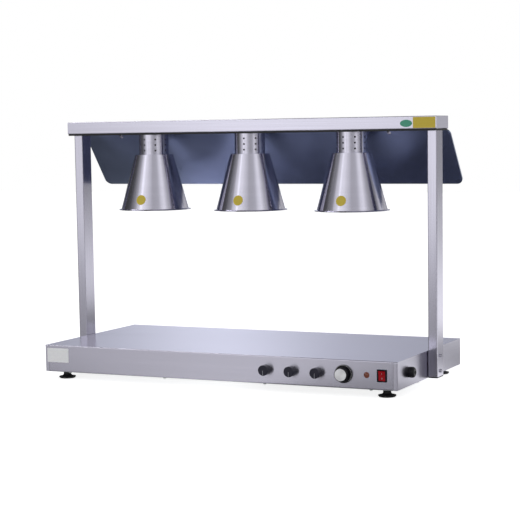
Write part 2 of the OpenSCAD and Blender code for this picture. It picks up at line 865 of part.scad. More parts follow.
// Bent straps from the back of the rail down behind the glass
module guard_brackets() {
    up = [-sin(guard_tilt), cos(guard_tilt)];
    out = [cos(guard_tilt), sin(guard_tilt)];
    face = [guard_y, guard_z] + guard_t * out;
    rear = face + clip_t * out;
    wall = rail_d / 2;
    top = rail_z + rail_h - 3;
    inner = face + (face[0] - wall) / sin(guard_tilt) * up;
    outer = rear + (rear[0] - wall - clip_t) / sin(guard_tilt) * up;
    placed() color(steel) difference() {
        for (x = clip_x) translate([x, 0, 0]) along_x(clip_w) polygon([
            [wall, top], [wall + clip_t, top], outer, rear - clip_reach * up,
            face - clip_reach * up, inner
        ]);
        for (x = clip_x) {
            on_guard() translate([x, -clip_bolt, -3 * guard_t])
                cylinder(d = bolt_d + 2 * play, h = 3 * guard_t);
            for (dx = [-1, 1]) translate([x + dx * clip_w / 4, wall - 1, clip_screw_z])
                rotate([-90, 0, 0]) cylinder(d = screw_d + 2 * play, h = clip_t + 2);
        }
    }
}

module guard_bolts() {
    stack = guard_t + clip_t;
    nut = 5;
    placed() color(steel) for (x = clip_x) on_guard() translate([x, -clip_bolt, 0]) {
        translate([0, 0, -stack - nut - 1]) cylinder(d = bolt_d, h = stack + nut + 2);
        cylinder(d1 = bolt_d + 5, d2 = bolt_d, h = 2.5);
        translate([0, 0, -stack - nut]) hex_nut(2 * bolt_d, nut, bolt_d + 2 * play);
    }
}

// Controls

// Lamp knob with a beveled face, a pointer groove and a hollow back over the nut
module lamp_knob(n) {
    length = knob_l - knob_gap;
    placed() color(black) on_front(knob_x[n]) translate([0, 0, knob_gap]) difference() {
        union() {
            cylinder(d = knob_d, h = length - knob_bevel);
            translate([0, 0, length - knob_bevel])
                cylinder(d1 = knob_d, d2 = knob_d - 2 * knob_bevel, h = knob_bevel);
        }
        translate([0, 0, -1]) cylinder(d = recess_d, h = recess_l + 1);
        cylinder(d = shaft_d, h = shaft_out - knob_gap);
        translate([-0.6, -knob_d / 2 - 1, length - 0.5]) cube([1.2, knob_d / 2 + 1, 1]);
    }
}

module control_shaft(x) {
    on_front(x) translate([0, 0, -shaft_in]) cylinder(d = shaft_d, h = shaft_in + shaft_out);
}

module lamp_shaft(n) {
    placed() color(galvanised) control_shaft(knob_x[n]);
}

// Body behind the panel with a threaded bush through it
module control_body(x, w, h, depth) {
    on_front(x) difference() {
        union() {
            translate([-w / 2, -h / 2, -sheet - depth]) cube([w, h, depth]);
            translate([0, 0, -sheet - 1]) cylinder(d = bush_d, h = bush_l + 1);
        }
        translate([0, 0, -shaft_in - rest_gap])
            cylinder(r = shaft_d / 2 + shaft_clear, h = shaft_in + shaft_out);
    }
}

module lamp_dimmers() {
    placed() color([0.16, 0.2, 0.35]) for (x = knob_x)
        control_body(x, dimmer_w, dimmer_w, dimmer_depth);
}

module control_nuts() {
    placed() color(galvanised) for (x = [each knob_x, thermostat_x])
        on_front(x) hex_nut(control_nut_d, control_nut_h, bush_d + 2 * play);
}

// Thermostat knob: marked skirt, fluted grip and a seat for the silver disc
module thermostat_knob() {
    flutes = 20;
    grip_top = knob_reach - knob_gap - disc_t / 2;
    placed() color(black) on_front(thermostat_x) translate([0, 0, knob_gap]) difference() {
        union() {
            cylinder(d = dial_d, h = skirt_l / 2);
            translate([0, 0, skirt_l / 2]) cylinder(d1 = dial_d, d2 = dial_d - 4, h = skirt_l / 2);
            cylinder(d = grip_d, h = grip_top - 1);
            translate([0, 0, grip_top - 1]) cylinder(d1 = grip_d, d2 = grip_d - 2, h = 1);
        }
        for (k = [0:flutes - 1]) rotate([0, 0, k * 360 / flutes])
            translate([grip_d / 2 + 0.9, 0, skirt_l]) cylinder(r = 1.5, h = knob_reach);
        translate([0, 0, -1]) cylinder(d = recess_d, h = recess_l + 1);
        cylinder(d = shaft_d, h = shaft_out - knob_gap);
        translate([0, 0, grip_top - disc_t / 2]) cylinder(d = disc_d + 2 * play, h = disc_t);
    }
}

module thermostat_disc() {
    placed() color([0.92, 0.92, 0.94]) on_front(thermostat_x)
        translate([0, 0, knob_reach - disc_t]) cylinder(d = disc_d, h = disc_t);
}

module thermostat_shaft() {
    placed() color(galvanised) control_shaft(thermostat_x);
}

module thermostat_body() {
    placed() color([0.8, 0.78, 0.7])
        control_body(thermostat_x, thermostat_w, thermostat_h, thermostat_depth);
}

// Sensing bulb under the top plate and its capillary back to the thermostat
module thermostat_probe() {
    z = plate_z - rest_gap - probe_d / 2;
    back = -half_d + sheet + thermostat_depth;
    rise_y = (back + field_y0) / 2;
    end_x = thermostat_x - probe_inset;
    placed() color([0.72, 0.45, 0.3]) {
        translate([end_x - probe_l, probe_y, z]) rotate([0, 90, 0]) cylinder(d = probe_d, h = probe_l);
        tube([
            [thermostat_x, back + rest_gap, control_z + 12], [thermostat_x, rise_y, control_z + 12],
            [thermostat_x, rise_y, z], [thermostat_x, probe_y, z], [end_x + play, probe_y, z]
        ], 1);
    }
}

// Amber lens in its bezel, with the lamp body behind the panel
module pilot_lamp() {
    stem = pilot_d - 4;
    placed() on_front(pilot_x) {
        color([0.62, 0.32, 0.2]) {
            cylinder(d1 = pilot_d, d2 = pilot_d - 2, h = 2);
            intersection() {
                translate([0, 0, -2]) sphere(d = pilot_d - 2);
                translate([0, 0, 1]) cylinder(d = pilot_d - 4, h = pilot_d);
            }
            translate([0, 0, -sheet - 2]) cylinder(d = stem, h = sheet + 3);
        }
        color(black) difference() {
            translate([0, 0, -sheet - 20]) cylinder(d = stem + 3, h = 20);
            translate([0, 0, -sheet - 2 - play]) cylinder(d = stem + 2 * play, h = 4);
        }
    }
}

module switch_housing() {
    placed() color(black) on_front(switch_x) difference() {
        union() {
            linear_extrude(switch_bezel) round_rect(switch_w, switch_h, 1);
            translate([-housing_w / 2, -housing_h / 2, -housing_depth])
                cube([housing_w, housing_h, housing_depth + 1]);
        }
        translate([-mouth_w / 2, -mouth_h / 2, -14]) cube([mouth_w, mouth_h, 20]);
        translate([0, 0, rocker_pivot]) rotate([0, 90, 0])
            cylinder(r = rocker_pin_d / 2 + shaft_clear, h = rocker_w + 2.8 + rest_gap, center = true);
    }
}

// Rocker at rest: lower end pressed in, upper end standing out
module power_rocker() {
    rise = rocker_half * tan(rocker_tilt);
    front = 1 - rocker_pivot;
    placed() color([0.75, 0.05, 0.06]) on_front(switch_x)
        translate([0, 0, rocker_pivot]) rotate([rocker_tilt, 0, 0]) {
            along_x(rocker_w) polygon([
                [0, front], [rocker_half, front + rise], [rocker_half, -1], [5, -6], [-5, -6],
                [-rocker_half, -1], [-rocker_half, front + rise]
            ]);
            rotate([0, 90, 0]) cylinder(d = rocker_pin_d, h = rocker_w + 2.8, center = true);
        }
}

// Supply

// Gland with a hexagonal flange, a domed nut and a lock nut inside the panel
module cable_gland() {
    dome = gland_reach - gland_flange;
    r = gland_d / 2;
    placed() color(black) on_side(gland_y, control_z) {
        difference() {
            union() {
                cylinder(d = gland_d + 1, h = gland_flange, $fn = 6);
                translate([0, 0, gland_flange]) rotate_extrude() polygon([
                    [0, -1], [r - 0.5, -1], [r - 0.5, 0.5], [r, 0.5], [r, dome - 5],
                    [r - 1.5, dome - 2], [r - 4, dome], [0, dome]
                ]);
                translate([0, 0, -sheet - gland_in]) cylinder(d = gland_thread_d, h = sheet + gland_in + 1);
            }
            translate([0, 0, -sheet - gland_in - 1])
                cylinder(d = gland_bore, h = sheet + gland_in + gland_reach + 2);
        }
        translate([0, 0, -sheet - locknut_h])
            hex_nut(locknut_d, locknut_h, gland_thread_d + 2 * play);
    }
}

module terminal_block() {
    poles = 6;
    pitch = block_l / poles;
    placed() color(ceramic) translate([block_x, block_y, base_z]) difference() {
        translate([-block_l / 2, -block_w / 2, 0]) cube([block_l, block_w, block_w]);
        for (i = [0:poles - 1], y = [-1, 1])
            translate([(i - (poles - 1) / 2) * pitch, y * block_w / 4, block_w - 4])
                cylinder(r = 2, h = 5);
    }
}

// Round tube through a list of points, its corners mitred
function unit(v) = v / norm(v);
function side_of(d) = unit(cross(d, abs(d[2]) > 0.9 ? [1, 0, 0] : [0, 0, 1]));
function carried(u, d0, d1) = u - (u * d1) / (1 + d0 * d1) * (d0 + d1);
function frames(d, i = 0, u = undef) =
    let (now = i == 0 ? side_of(d[0]) : carried(u, d[i - 1], d[i]))
    i == len(d) - 1 ? [now] : concat([now], frames(d, i + 1, now));

module tube(path, r) {
    last = len(path) - 1;
    d = [for (i = [0:last - 1]) unit(path[i + 1] - path[i])];
    u = frames(d);
    ring_points = [for (i = [0:last], k = [0:wire_sides - 1])
        let (
            j = max(i - 1, 0),
            a = (k + 0.5) * 360 / wire_sides,
            w = r * (cos(a) * u[j] + sin(a) * cross(d[j], u[j])),
            n = i == 0 ? d[0] : i == last ? d[last - 1] : unit(d[i - 1] + d[i])
        )
        path[i] + w - (w * n) / (d[j] * n) * d[j]
    ];
    walls = [for (i = [0:last - 1], k = [0:wire_sides - 1])
        let (next = (k + 1) % wire_sides, a = i * wire_sides, b = a + wire_sides)
        [a + k, b + k, b + next, a + next]
    ];
    ends = [
        [for (k = [0:wire_sides - 1]) k],
        [for (k = [wire_sides - 1:-1:0]) last * wire_sides + k]
    ];
    polyhedron(ring_points, concat(walls, ends));
}

// Branch from the trunk along the front to the back of a control
module branch(x, back) {
    start = trunk_y - trunk_r - rest_gap;
    turn = (start + back) / 2;
    tube([
        [x, start, trunk_z], [x, turn, trunk_z], [x, turn, control_z], [x, back + rest_gap, control_z]
    ], wire_r);
}

// Leads from the terminal block to one element, side 1 right and side -1 left
module element_leads(side) {
    start = block_x + side * (block_l / 2 + rest_gap);
    end = half_w - element_inset + rest_gap;
    y = [element_y0, element_y0 + (element_runs - 1) * element_pitch];
    for (k = [0, 1]) {
        z = k == 0 ? trunk_z - 2 * wire_r - rest_gap : trunk_z + sleeve_r + 2 * wire_r + rest_gap;
        x = end + 10 + 6 * k;
        from_y = block_y - 2 * wire_r * (2 * k - 1);
        tube([
            [start, from_y, z], [side * x, from_y, z], [side * x, y[k], z],
            [side * x, y[k], element_z], [side * end, y[k], element_z]
        ], wire_r);
    }
}

// Sleeve from the terminal block up the right post and along the rail, with a drop to each lamp
module lamp_leads() {
    up_x = half_w - 15;
    z = rail_plate_z + 14;
    tube([
        [block_x, block_y + block_w / 2 + rest_gap, trunk_z], [block_x, post_wire_y, trunk_z],
        [up_x, post_wire_y, trunk_z], [up_x, post_wire_y, post_wire_z],
        [post_x, post_wire_y, post_wire_z], [post_x, post_wire_y, z],
        [-lamp_pitch - 10, post_wire_y, z]
    ], sleeve_r);
    for (i = [-1:1]) tube([
        [i * lamp_pitch, post_wire_y + sleeve_r + rest_gap, z], [i * lamp_pitch, 0, z],
        [i * lamp_pitch, 0, holder_top - nipple_sink + rest_gap]
    ], wire_r);
}

module wiring_loom() {
    behind = -half_d + sheet;
    placed() color([0.55, 0.1, 0.1]) {
        tube([[knob_x[0] - 10, trunk_y, trunk_z], [block_x + 15, trunk_y, trunk_z]], trunk_r);
        tube([
            [block_x, trunk_y + trunk_r + rest_gap, trunk_z],
            [block_x, block_y - block_w / 2 - rest_gap, trunk_z]
        ], sleeve_r);
        for (x = knob_x)
            branch(x, behind + dimmer_depth);
        branch(thermostat_x, behind + thermostat_depth);
        branch(pilot_x, behind + 20);
        tube([
            [block_x + 15 + rest_gap, trunk_y, trunk_z], [switch_x - 25, trunk_y, trunk_z],
            [switch_x - 25, trunk_y, control_z], [switch_x - 25, housing_depth - half_d + 3, control_z],
            [switch_x, housing_depth - half_d + 3, control_z]
        ], wire_r);
        for (side = [-1, 1])
            element_leads(side);
        lamp_leads();
    }
}

top_cover();
left_side_panel();
right_side_panel();
bottom_plate();
top_stiffener();
heating_elements();
element_clamps();
insulation_blankets();
heat_shield();
foot_nuts();
left_post();
right_post();
post_end_plugs();
post_bolts();
post_backing_plates();
top_rail();
rail_bottom_plate();
rail_end_caps();
post_head_brackets();
cover_screws();
lamp_neck(-1);  // left_lamp_neck
lamp_neck(0);  // middle_lamp_neck
lamp_neck(1);  // right_lamp_neck
lamp_shade(-1);  // left_lamp_shade
lamp_shade(0);  // middle_lamp_shade
lamp_shade(1);  // right_lamp_shade
lampholder(-1);  // left_lampholder
lampholder(0);  // middle_lampholder
lampholder(1);  // right_lampholder
bulb(-1);  // left_bulb
bulb(0);  // middle_bulb
bulb(1);  // right_bulb
bulb_caps();
lamp_nipples();
guard_glass();
guard_brackets();
guard_bolts();
lamp_knob(0);  // left_lamp_knob
lamp_knob(1);  // middle_lamp_knob
lamp_knob(2);  // right_lamp_knob
lamp_shaft(0);  // left_lamp_shaft
lamp_shaft(1);  // middle_lamp_shaft
lamp_shaft(2);  // right_lamp_shaft
lamp_dimmers();
control_nuts();
thermostat_knob();
thermostat_disc();
thermostat_shaft();
thermostat_body();
thermostat_probe();
pilot_lamp();
switch_housing();
power_rocker();
cable_gland();
terminal_block();
wiring_loom();
front_left_foot();
front_right_foot();
back_left_foot();
back_right_foot();
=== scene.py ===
"""Finishes, fittings and studio for a heated shelf with three hanging lamps.

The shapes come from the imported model. This script gives them their materials, adds the small
pieces that the model leaves plain, and sets the studio and the camera. Lengths are in metres.
"""

from functools import wraps
from math import atan2, cos, hypot, radians, sin, tan, tau

import bmesh
import bpy
from mathutils import Matrix, Vector


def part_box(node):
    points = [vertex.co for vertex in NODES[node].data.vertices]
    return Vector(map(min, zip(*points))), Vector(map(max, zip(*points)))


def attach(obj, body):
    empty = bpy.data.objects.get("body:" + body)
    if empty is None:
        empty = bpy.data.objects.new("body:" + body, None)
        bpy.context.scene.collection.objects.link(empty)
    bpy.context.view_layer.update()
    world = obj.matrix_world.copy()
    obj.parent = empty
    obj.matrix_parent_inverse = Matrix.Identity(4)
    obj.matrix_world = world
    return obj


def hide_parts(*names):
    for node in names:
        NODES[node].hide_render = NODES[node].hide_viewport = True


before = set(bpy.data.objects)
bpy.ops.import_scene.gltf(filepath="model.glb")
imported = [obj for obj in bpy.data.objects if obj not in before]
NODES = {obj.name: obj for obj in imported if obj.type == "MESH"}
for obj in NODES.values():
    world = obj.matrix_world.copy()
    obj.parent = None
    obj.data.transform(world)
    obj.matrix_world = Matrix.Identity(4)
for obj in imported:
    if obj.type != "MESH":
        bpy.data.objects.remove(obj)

bl_info = {
    "name": "Food Warmer Finishes",
    "version": (1, 0, 0),
    "blender": (4, 5, 0),
    "location": "View3D > Sidebar > Food Warmer",
    "description": "Finishes, fittings and studio for a heated shelf with three lamps",
    "category": "Object",
}


MM = 0.001
# An edge stays sharp where its faces turn by more than this
SHARP = radians(32)
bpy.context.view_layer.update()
SIDES = ("left", "middle", "right")
FOOT_PLACES = ("front_left", "front_right", "back_left", "back_right")


def centre_of(node):
    """Middle of a CAD node's box."""
    low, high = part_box(node)
    return (low + high) / 2


# Where the base's front panel, the controls' axis and the lamps' axes lie
PANEL_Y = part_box("control_nuts")[1].y
CONTROL_Z = centre_of("middle_lamp_knob").z
LAMP_Y = centre_of("middle_lamp_shade").y
LAMP_PITCH = centre_of("right_lamp_shade").x


def colour(hex_code):
    """Linear colour from an sRGB hex value such as #C8C6D6."""
    channels = [int(hex_code[i:i + 2], 16) / 255 for i in (1, 3, 5)]
    linear = [c / 12.92 if c <= 0.04045 else ((c + 0.055) / 1.055) ** 2.4 for c in channels]
    return (*linear, 1.0)


def placed(name, data):
    """New object in the scene, at the origin."""
    made = bpy.data.objects.new(name, data)
    bpy.context.scene.collection.objects.link(made)
    return made


# Sizes and colours that a user may change


def hue(name, description, hex_code):
    """Property for a colour, with its default as an sRGB hex value."""
    return bpy.props.FloatVectorProperty(
        name=name, description=description, subtype="COLOR", size=4, min=0, max=1,
        default=colour(hex_code))


def number(name, description, default, **settings):
    """Property for a number, with its limits and its unit as settings."""
    return bpy.props.FloatProperty(name=name, description=description, default=default, **settings)


def length(name, description, millimetres):
    """Property for a length, with its default in millimetres."""
    return number(name, description, millimetres * MM, unit="LENGTH", subtype="DISTANCE", min=0)


class WarmerColours(bpy.types.PropertyGroup):
    steel: hue("Stainless steel", "Folded and spun stainless sheet", "#CBC9D8")
    zinc: hue("Zinc", "Galvanised plates and plated fasteners", "#B4B8BC")
    abs_black: hue("Black plastic", "Dial, plugs, gland and switch housing", "#12111A")
    knob: hue("Lamp knobs", "Blue-black plastic of the lamp knobs", "#272635")
    rubber: hue("Rubber", "Levelling feet", "#0C0C0F")
    coating: hue("Guard glass", "Reflective coating of the guard's glass", "#8691B0")
    rocker: hue("Rocker", "Power rocker", "#A80E18")
    lens: hue("Pilot lens", "Lens of the pilot lamp", "#7E4230")
    disc: hue("Dial disc", "Spun disc of the thermostat knob", "#F8F8FC")
    pointer: hue("Pointer", "Pointer lines of the lamp knobs", "#A3A4AE")
    marks: hue("Marks", "Printed marks of dial and rocker", "#E4E4E4")
    yellow: hue("Yellow sticker", "Plain yellow stickers", "#CDB62F")
    green: hue("Green sticker", "Plain green sticker", "#3E9C7E")
    plate: hue("Rating plate", "Blank plate on the base", "#FAFBFF")
    ceramic: hue("Ceramic", "Lampholders and terminal block", "#ECEAE0")
    brass: hue("Screw caps", "Nickel-plated caps of the bulbs", "#C9BD96")
    copper: hue("Copper", "Sensing bulb and capillary", "#B8734D")
    wool: hue("Insulation", "Mineral fibre blankets", "#D8D0A8")
    sleeve: hue("Wiring", "Silicone sleeves of the wiring", "#8C1A1A")
    dimmer: hue("Dimmer", "Bodies of the dimmers", "#2A3458")
    sheath: hue("Element sheath", "Oxidised sheath of the heating elements", "#5B5554")


class WarmerSizes(bpy.types.PropertyGroup):
    brush_pitch: length("Brush pitch", "Spacing of the brush lines in flat steel", 0.8)
    spin_pitch: length("Spin pitch", "Spacing of the tool lines in spun steel", 0.9)
    sticker: length("Sticker thickness", "Thickness of stickers and the plate", 0.2)
    dot: length("Shade dot", "Diameter of the stickers on the shades", 27)
    cone_foot: length("Cone foot", "Diameter of a shade's cone above its bead", 182.5)
    cone_top: length("Cone top", "Diameter of a shade's cone at its shoulder", 103.5)
    pad: length("Pad diameter", "Widest diameter of a levelling foot", 45)
    tread: length("Tread diameter", "Diameter of a foot on the table", 40)
    hub: length("Hub diameter", "Diameter of a foot's hub", 20)
    stud: length("Stud diameter", "Diameter of a foot's threaded stud", 10)
    pitch: length("Thread pitch", "Pitch of the studs' thread", 1.5)
    tick: length("Tick length", "Length of the marks on the dial", 2.2)
    ticks: bpy.props.IntProperty(
        name="Ticks", description="Number of marks on the dial", min=2, default=28)
    ribs: bpy.props.IntProperty(
        name="Grip ribs", description="Number of ribs round the gland's nut", min=3, default=24)


class WarmerStudio(bpy.types.PropertyGroup):
    lens: number("Lens", "Focal length of the camera in millimetres", 111.58, min=1)
    shift: number("Shift", "Vertical shift of the camera", 0.0769)
    azimuth: number("Azimuth", "Camera's turn round the object", radians(25.39), subtype="ANGLE")
    elevation: number("Elevation", "Camera's tilt above the horizon", radians(5.93), subtype="ANGLE")
    roll: number("Roll", "Camera's turn about its own axis", radians(-0.88), subtype="ANGLE")
    place: bpy.props.FloatVectorProperty(
        name="Camera place", description="Place of the camera", subtype="TRANSLATION", size=3,
        unit="LENGTH", default=(1.8501, -3.8391, 0.6467))
    softbox: number("Softbox power", "Power of the overhead softbox", 21, subtype="POWER", min=0)
    key: number("Key power", "Power of the large key light", 2, subtype="POWER", min=0)


# Materials


def add(tree, kind, links=(), **settings):
    """Adds a node with its settings, and links or fills its inputs from (input, source) pairs. A
    node given as a source stands for its first output."""
    made = tree.nodes.new(kind)
    for name, value in settings.items():
        setattr(made, name, value)
    for socket, source in links:
        if isinstance(source, bpy.types.Node):
            source = source.outputs[0]
        if isinstance(source, bpy.types.NodeSocket):
            tree.links.new(source, made.inputs[socket])
        else:
            made.inputs[socket].default_value = source
    return made


def bare_tree(owner):
    """Node tree of a material or a world, emptied."""
    owner.use_nodes = True
    owner.node_tree.nodes.clear()
    return owner.node_tree


def makes_material(dress):
    """Turns a function that dresses a shader into one that returns a new material of some name."""
    @wraps(dress)
    def made(name, *values, **settings):
        new = bpy.data.materials.new(name)
        tree = bare_tree(new)
        shader = add(tree, "ShaderNodeBsdfPrincipled")
        add(tree, "ShaderNodeOutputMaterial", [("Surface", shader)])
        point = add(tree, "ShaderNodeTexCoord").outputs["Object"]
        dress(tree, shader, point, *values, **settings)
        return new
    return made


def fill(shader, **values):
    """Sets sockets of the shader that are the same all over the surface."""
    for name, value in values.items():
        shader.inputs[name.replace("_", " ")].default_value = value


def shades(base, *factors):
    """Darker and lighter shades of a colour, one for each factor."""
    return [(*(min(1.0, c * factor) for c in base[:3]), 1.0) for factor in factors]


def clouds(tree, point, scale, detail=2.0, roughness=0.5):
    """Cloudy pattern from 0 to 1, with scale cells a metre along X, Y and Z."""
    spread = add(tree, "ShaderNodeMapping", [("Vector", point), ("Scale", scale)])
    cells = add(tree, "ShaderNodeTexNoise", [
        ("Vector", spread), ("Scale", 1.0), ("Detail", detail), ("Roughness", roughness)])
    return add(tree, "ShaderNodeMapRange", [
        ("Value", cells), ("From Min", 0.25), ("From Max", 0.75)])


def coat(tree, shader, pattern, tones, roughness, depth=0.0, relief=None):
    """Drives the shader by a 0 to 1 pattern: its colour between two tones, its roughness between
    two values, and a relief of some depth, which may follow a pattern of its own."""
    tone = add(tree, "ShaderNodeMix", [(0, pattern), (6, tones[0]), (7, tones[1])], data_type="RGBA")
    sheen = add(tree, "ShaderNodeMapRange", [
        ("Value", pattern), ("To Min", roughness[0]), ("To Max", roughness[1])])
    raised = add(tree, "ShaderNodeBump", [
        ("Height", relief or pattern), ("Distance", depth), ("Strength", 0.5)])
    for socket, source in (("Base Color", tone.outputs[2]), ("Roughness", sheen.outputs[0]),
                           ("Normal", raised.outputs[0])):
        tree.links.new(source, shader.inputs[socket])


def drawn_steel(tree, shader, base, hairs, streaks, lines, roughness, anisotropy):
    """Stainless with hairlines over broad streaks, whose highlights stretch across the lines. The
    lines' direction is a vector or a node."""
    dark, light, line = shades(base, 0.95, 1.03, 0.93)
    broad = add(tree, "ShaderNodeMix", [(0, streaks), (6, dark), (7, light)], data_type="RGBA")
    coat(tree, shader, hairs, (broad.outputs[2], line), roughness, 0.003 * MM)
    fill(shader, Metallic=1.0, Anisotropic=anisotropy)
    normal = add(tree, "ShaderNodeNewGeometry").outputs["Normal"]
    across = add(tree, "ShaderNodeVectorMath", [(0, normal), (1, lines)], operation="CROSS_PRODUCT")
    tree.links.new(across.outputs["Vector"], shader.inputs["Tangent"])


@makes_material
def brushed_sheet(tree, shader, point, base, pitch, lines, roughness=(0.2, 0.26)):
    """Austenitic stainless sheet, belt-brushed: long straight hairlines that smear reflections
    across the grain and leave a soft mirror along it."""
    across = 1 / pitch
    hairs = clouds(tree, point, [across * (0.004 if d else 1) for d in lines], detail=3)
    # Streaks of 9 mm are coarser than the hairlines, so that they show at the picture's scale
    streaks = clouds(tree, point, [1.5 if d else 110 for d in lines])
    # The lines lean a little, so that a face folded across them still has a direction
    lean = Vector((0.03 * (not lines[0]), 0.03 * (not lines[1]), 0))
    drawn_steel(tree, shader, base, hairs, streaks, Vector(lines) + lean, roughness, 0.75)


@makes_material
def spun_shell(tree, shader, point, base, pitch):
    """Stainless spun on a lathe: fine rings round each lamp's axis, which draw every light out
    into a band from neck to rim."""
    parts = add(tree, "ShaderNodeSeparateXYZ", [(0, point)]).outputs
    half = LAMP_PITCH / 2
    x = add(tree, "ShaderNodeMath", [(0, parts["X"]), (1, half), (2, -half)], operation="WRAP")
    y = add(tree, "ShaderNodeMath", [(0, parts["Y"]), (1, LAMP_Y)], operation="SUBTRACT")
    radial = add(tree, "ShaderNodeCombineXYZ", [("X", x), ("Y", y)])
    rings = add(tree, "ShaderNodeVectorMath", [(0, (0, 0, 1)), (1, radial)], operation="CROSS_PRODUCT")
    radius = add(tree, "ShaderNodeVectorMath", [(0, radial)], operation="LENGTH").outputs["Value"]
    profile = add(tree, "ShaderNodeCombineXYZ", [("X", radius), ("Z", parts["Z"])])
    hairs = clouds(tree, profile, (1 / pitch,) * 3, detail=3)
    # Bands of 11 mm are coarser than the tool's lines, so that they show at the picture's scale
    streaks = clouds(tree, profile, (90,) * 3, detail=1)
    drawn_steel(tree, shader, base, hairs, streaks, rings, (0.17, 0.2), 0.93)


@makes_material
def galvanised(tree, shader, point, base):
    """Hot-dip galvanised mild steel: flat grey zinc with spangles of about 8 mm."""
    spangle = add(tree, "ShaderNodeTexVoronoi", [("Vector", point), ("Scale", 125.0)])
    grey = add(tree, "ShaderNodeSeparateColor", [(0, spangle.outputs["Color"])]).outputs["Red"]
    coat(tree, shader, grey, shades(base, 0.8, 1.1), (0.3, 0.45))
    fill(shader, Metallic=1.0)


@makes_material
def plated(tree, shader, point, base, roughness=0.3):
    """Electroplated or drawn metal: even, with a faint cloud of wear a few millimetres wide."""
    wear = clouds(tree, point, (250,) * 3, detail=4)
    coat(tree, shader, wear, shades(base, 0.82, 1), (roughness - 0.06, roughness + 0.08), 0.01 * MM)
    fill(shader, Metallic=1.0)


@makes_material
def moulded(tree, shader, point, base, roughness=0.35, depth=0.02, gloss=0.5):
    """Injection-moulded plastic: spark-eroded grain of a third of a millimetre under a soft gloss."""
    grain = clouds(tree, point, (700,) * 3, detail=3)
    patches = clouds(tree, point, (60,) * 3)
    coat(tree, shader, patches, shades(base, 0.88, 1.1),
         (roughness - 0.04, roughness + 0.06), depth * MM, grain)
    fill(shader, IOR=1.53, Specular_IOR_Level=gloss)


@makes_material
def rubber(tree, shader, point, base):
    """Moulded nitrile rubber: near black, dull, with grey dust caught in its fine grain."""
    dust = clouds(tree, point, (180,) * 3, detail=5)
    grain = clouds(tree, point, (1400,) * 3)
    coat(tree, shader, dust, shades(base, 1, 2.2), (0.5, 0.7), 0.03 * MM, grain)
    fill(shader, IOR=1.52)


@makes_material
def coated_glass(tree, shader, point, base):
    """Tempered float glass, body-tinted nearly black, with a hard coating that mirrors blue."""
    smear = clouds(tree, point, (14,) * 3)
    coat(tree, shader, smear, shades(base, 0.92, 1), (0.28, 0.34))
    fill(shader, Metallic=1.0)


@makes_material
def frosted_bulb(tree, shader, point):
    """Reflector bulb of blown soda glass: aluminised inside down to its widest ring and etched on
    its face, so the neck is a mirror and the face glows milky."""
    height = add(tree, "ShaderNodeSeparateXYZ", [(0, point)]).outputs["Z"]
    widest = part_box("middle_bulb")[0].z + 30 * MM
    mirror = add(tree, "ShaderNodeMapRange", [
        ("Value", height), ("From Min", widest - MM), ("From Max", widest + MM)]).outputs[0]
    etch = clouds(tree, point, (900,) * 3, detail=4)
    coat(tree, shader, mirror, (colour("#F2EFE8"), colour("#D5D4D2")), (0.42, 0.1), 0.01 * MM, etch)
    tree.links.new(mirror, shader.inputs["Metallic"])
    fill(shader, IOR=1.52)


@makes_material
def glazed(tree, shader, point, base):
    """Steatite with a clear glaze: cream white and smooth, with faint waves."""
    waves = clouds(tree, point, (90,) * 3, detail=3)
    coat(tree, shader, waves, shades(base, 0.93, 1), (0.14, 0.22), 0.03 * MM)
    fill(shader, IOR=1.55)


@makes_material
def fibre_blanket(tree, shader, point, base):
    """Needled mineral fibre: matted strands of a few millimetres, dull and slightly yellow."""
    strands = clouds(tree, point, (900, 250, 900), detail=6, roughness=0.7)
    coat(tree, shader, strands, shades(base, 0.72, 1), (0.9, 1.0), 0.9 * MM)


@makes_material
def oxidised_sheath(tree, shader, point, base):
    """Nickel alloy heater sheath after its first firing: matt grey-brown with blotches of oxide."""
    blotches = clouds(tree, point, (40, 120, 120), detail=5)
    coat(tree, shader, blotches, shades(base, 0.6, 1.2), (0.5, 0.7))
    fill(shader, Metallic=0.7)


@makes_material
def printed(tree, shader, point, base, roughness=0.35):
    """Screen-printed vinyl or ink: flat colour with the faint orange peel of its film."""
    film = clouds(tree, point, (500,) * 3)
    coat(tree, shader, film, shades(base, 0.94, 1.04), (roughness - 0.05, roughness + 0.05), 0.006 * MM)
    fill(shader, IOR=1.5)


@makes_material
def turned_disc(tree, shader, point, base):
    """Aluminium disc faced on a lathe and anodised: rings round the dial's axis that fan the light."""
    middle = centre_of("thermostat_disc")
    radial = add(tree, "ShaderNodeVectorMath", [(0, point), (1, middle)], operation="SUBTRACT")
    radius = add(tree, "ShaderNodeVectorMath", [(0, radial)], operation="LENGTH").outputs["Value"]
    rings = clouds(tree, radius, (2500,) * 3)
    lines = add(tree, "ShaderNodeVectorMath", [(0, (0, 1, 0)), (1, radial)], operation="CROSS_PRODUCT")
    coat(tree, shader, rings, shades(base, 0.9, 1), (0.3, 0.4))
    fill(shader, Metallic=0.5, Anisotropic=0.8)
    tree.links.new(lines.outputs[0], shader.inputs["Tangent"])


@makes_material
def pilot_plastic(tree, shader, point, base, body):
    """Amber polycarbonate lens in front, with its black lamp body behind the panel."""
    depth = add(tree, "ShaderNodeSeparateXYZ", [(0, point)]).outputs["Y"]
    behind = add(tree, "ShaderNodeMath", [(0, depth), (1, PANEL_Y + 3 * MM)], operation="GREATER_THAN")
    glow = clouds(tree, point, (300,) * 3, detail=1)
    dark, light = shades(base, 0.8, 1.15)
    front = add(tree, "ShaderNodeMix", [(0, glow), (6, dark), (7, light)], data_type="RGBA")
    coat(tree, shader, behind, (front.outputs[2], body), (0.12, 0.3))
    fill(shader, IOR=1.58)


def finish(material, *names):
    """Gives the material to CAD nodes, in every slot they have."""
    for name in names:
        for slot in NODES[name].material_slots:
            slot.material = material


# Geometry


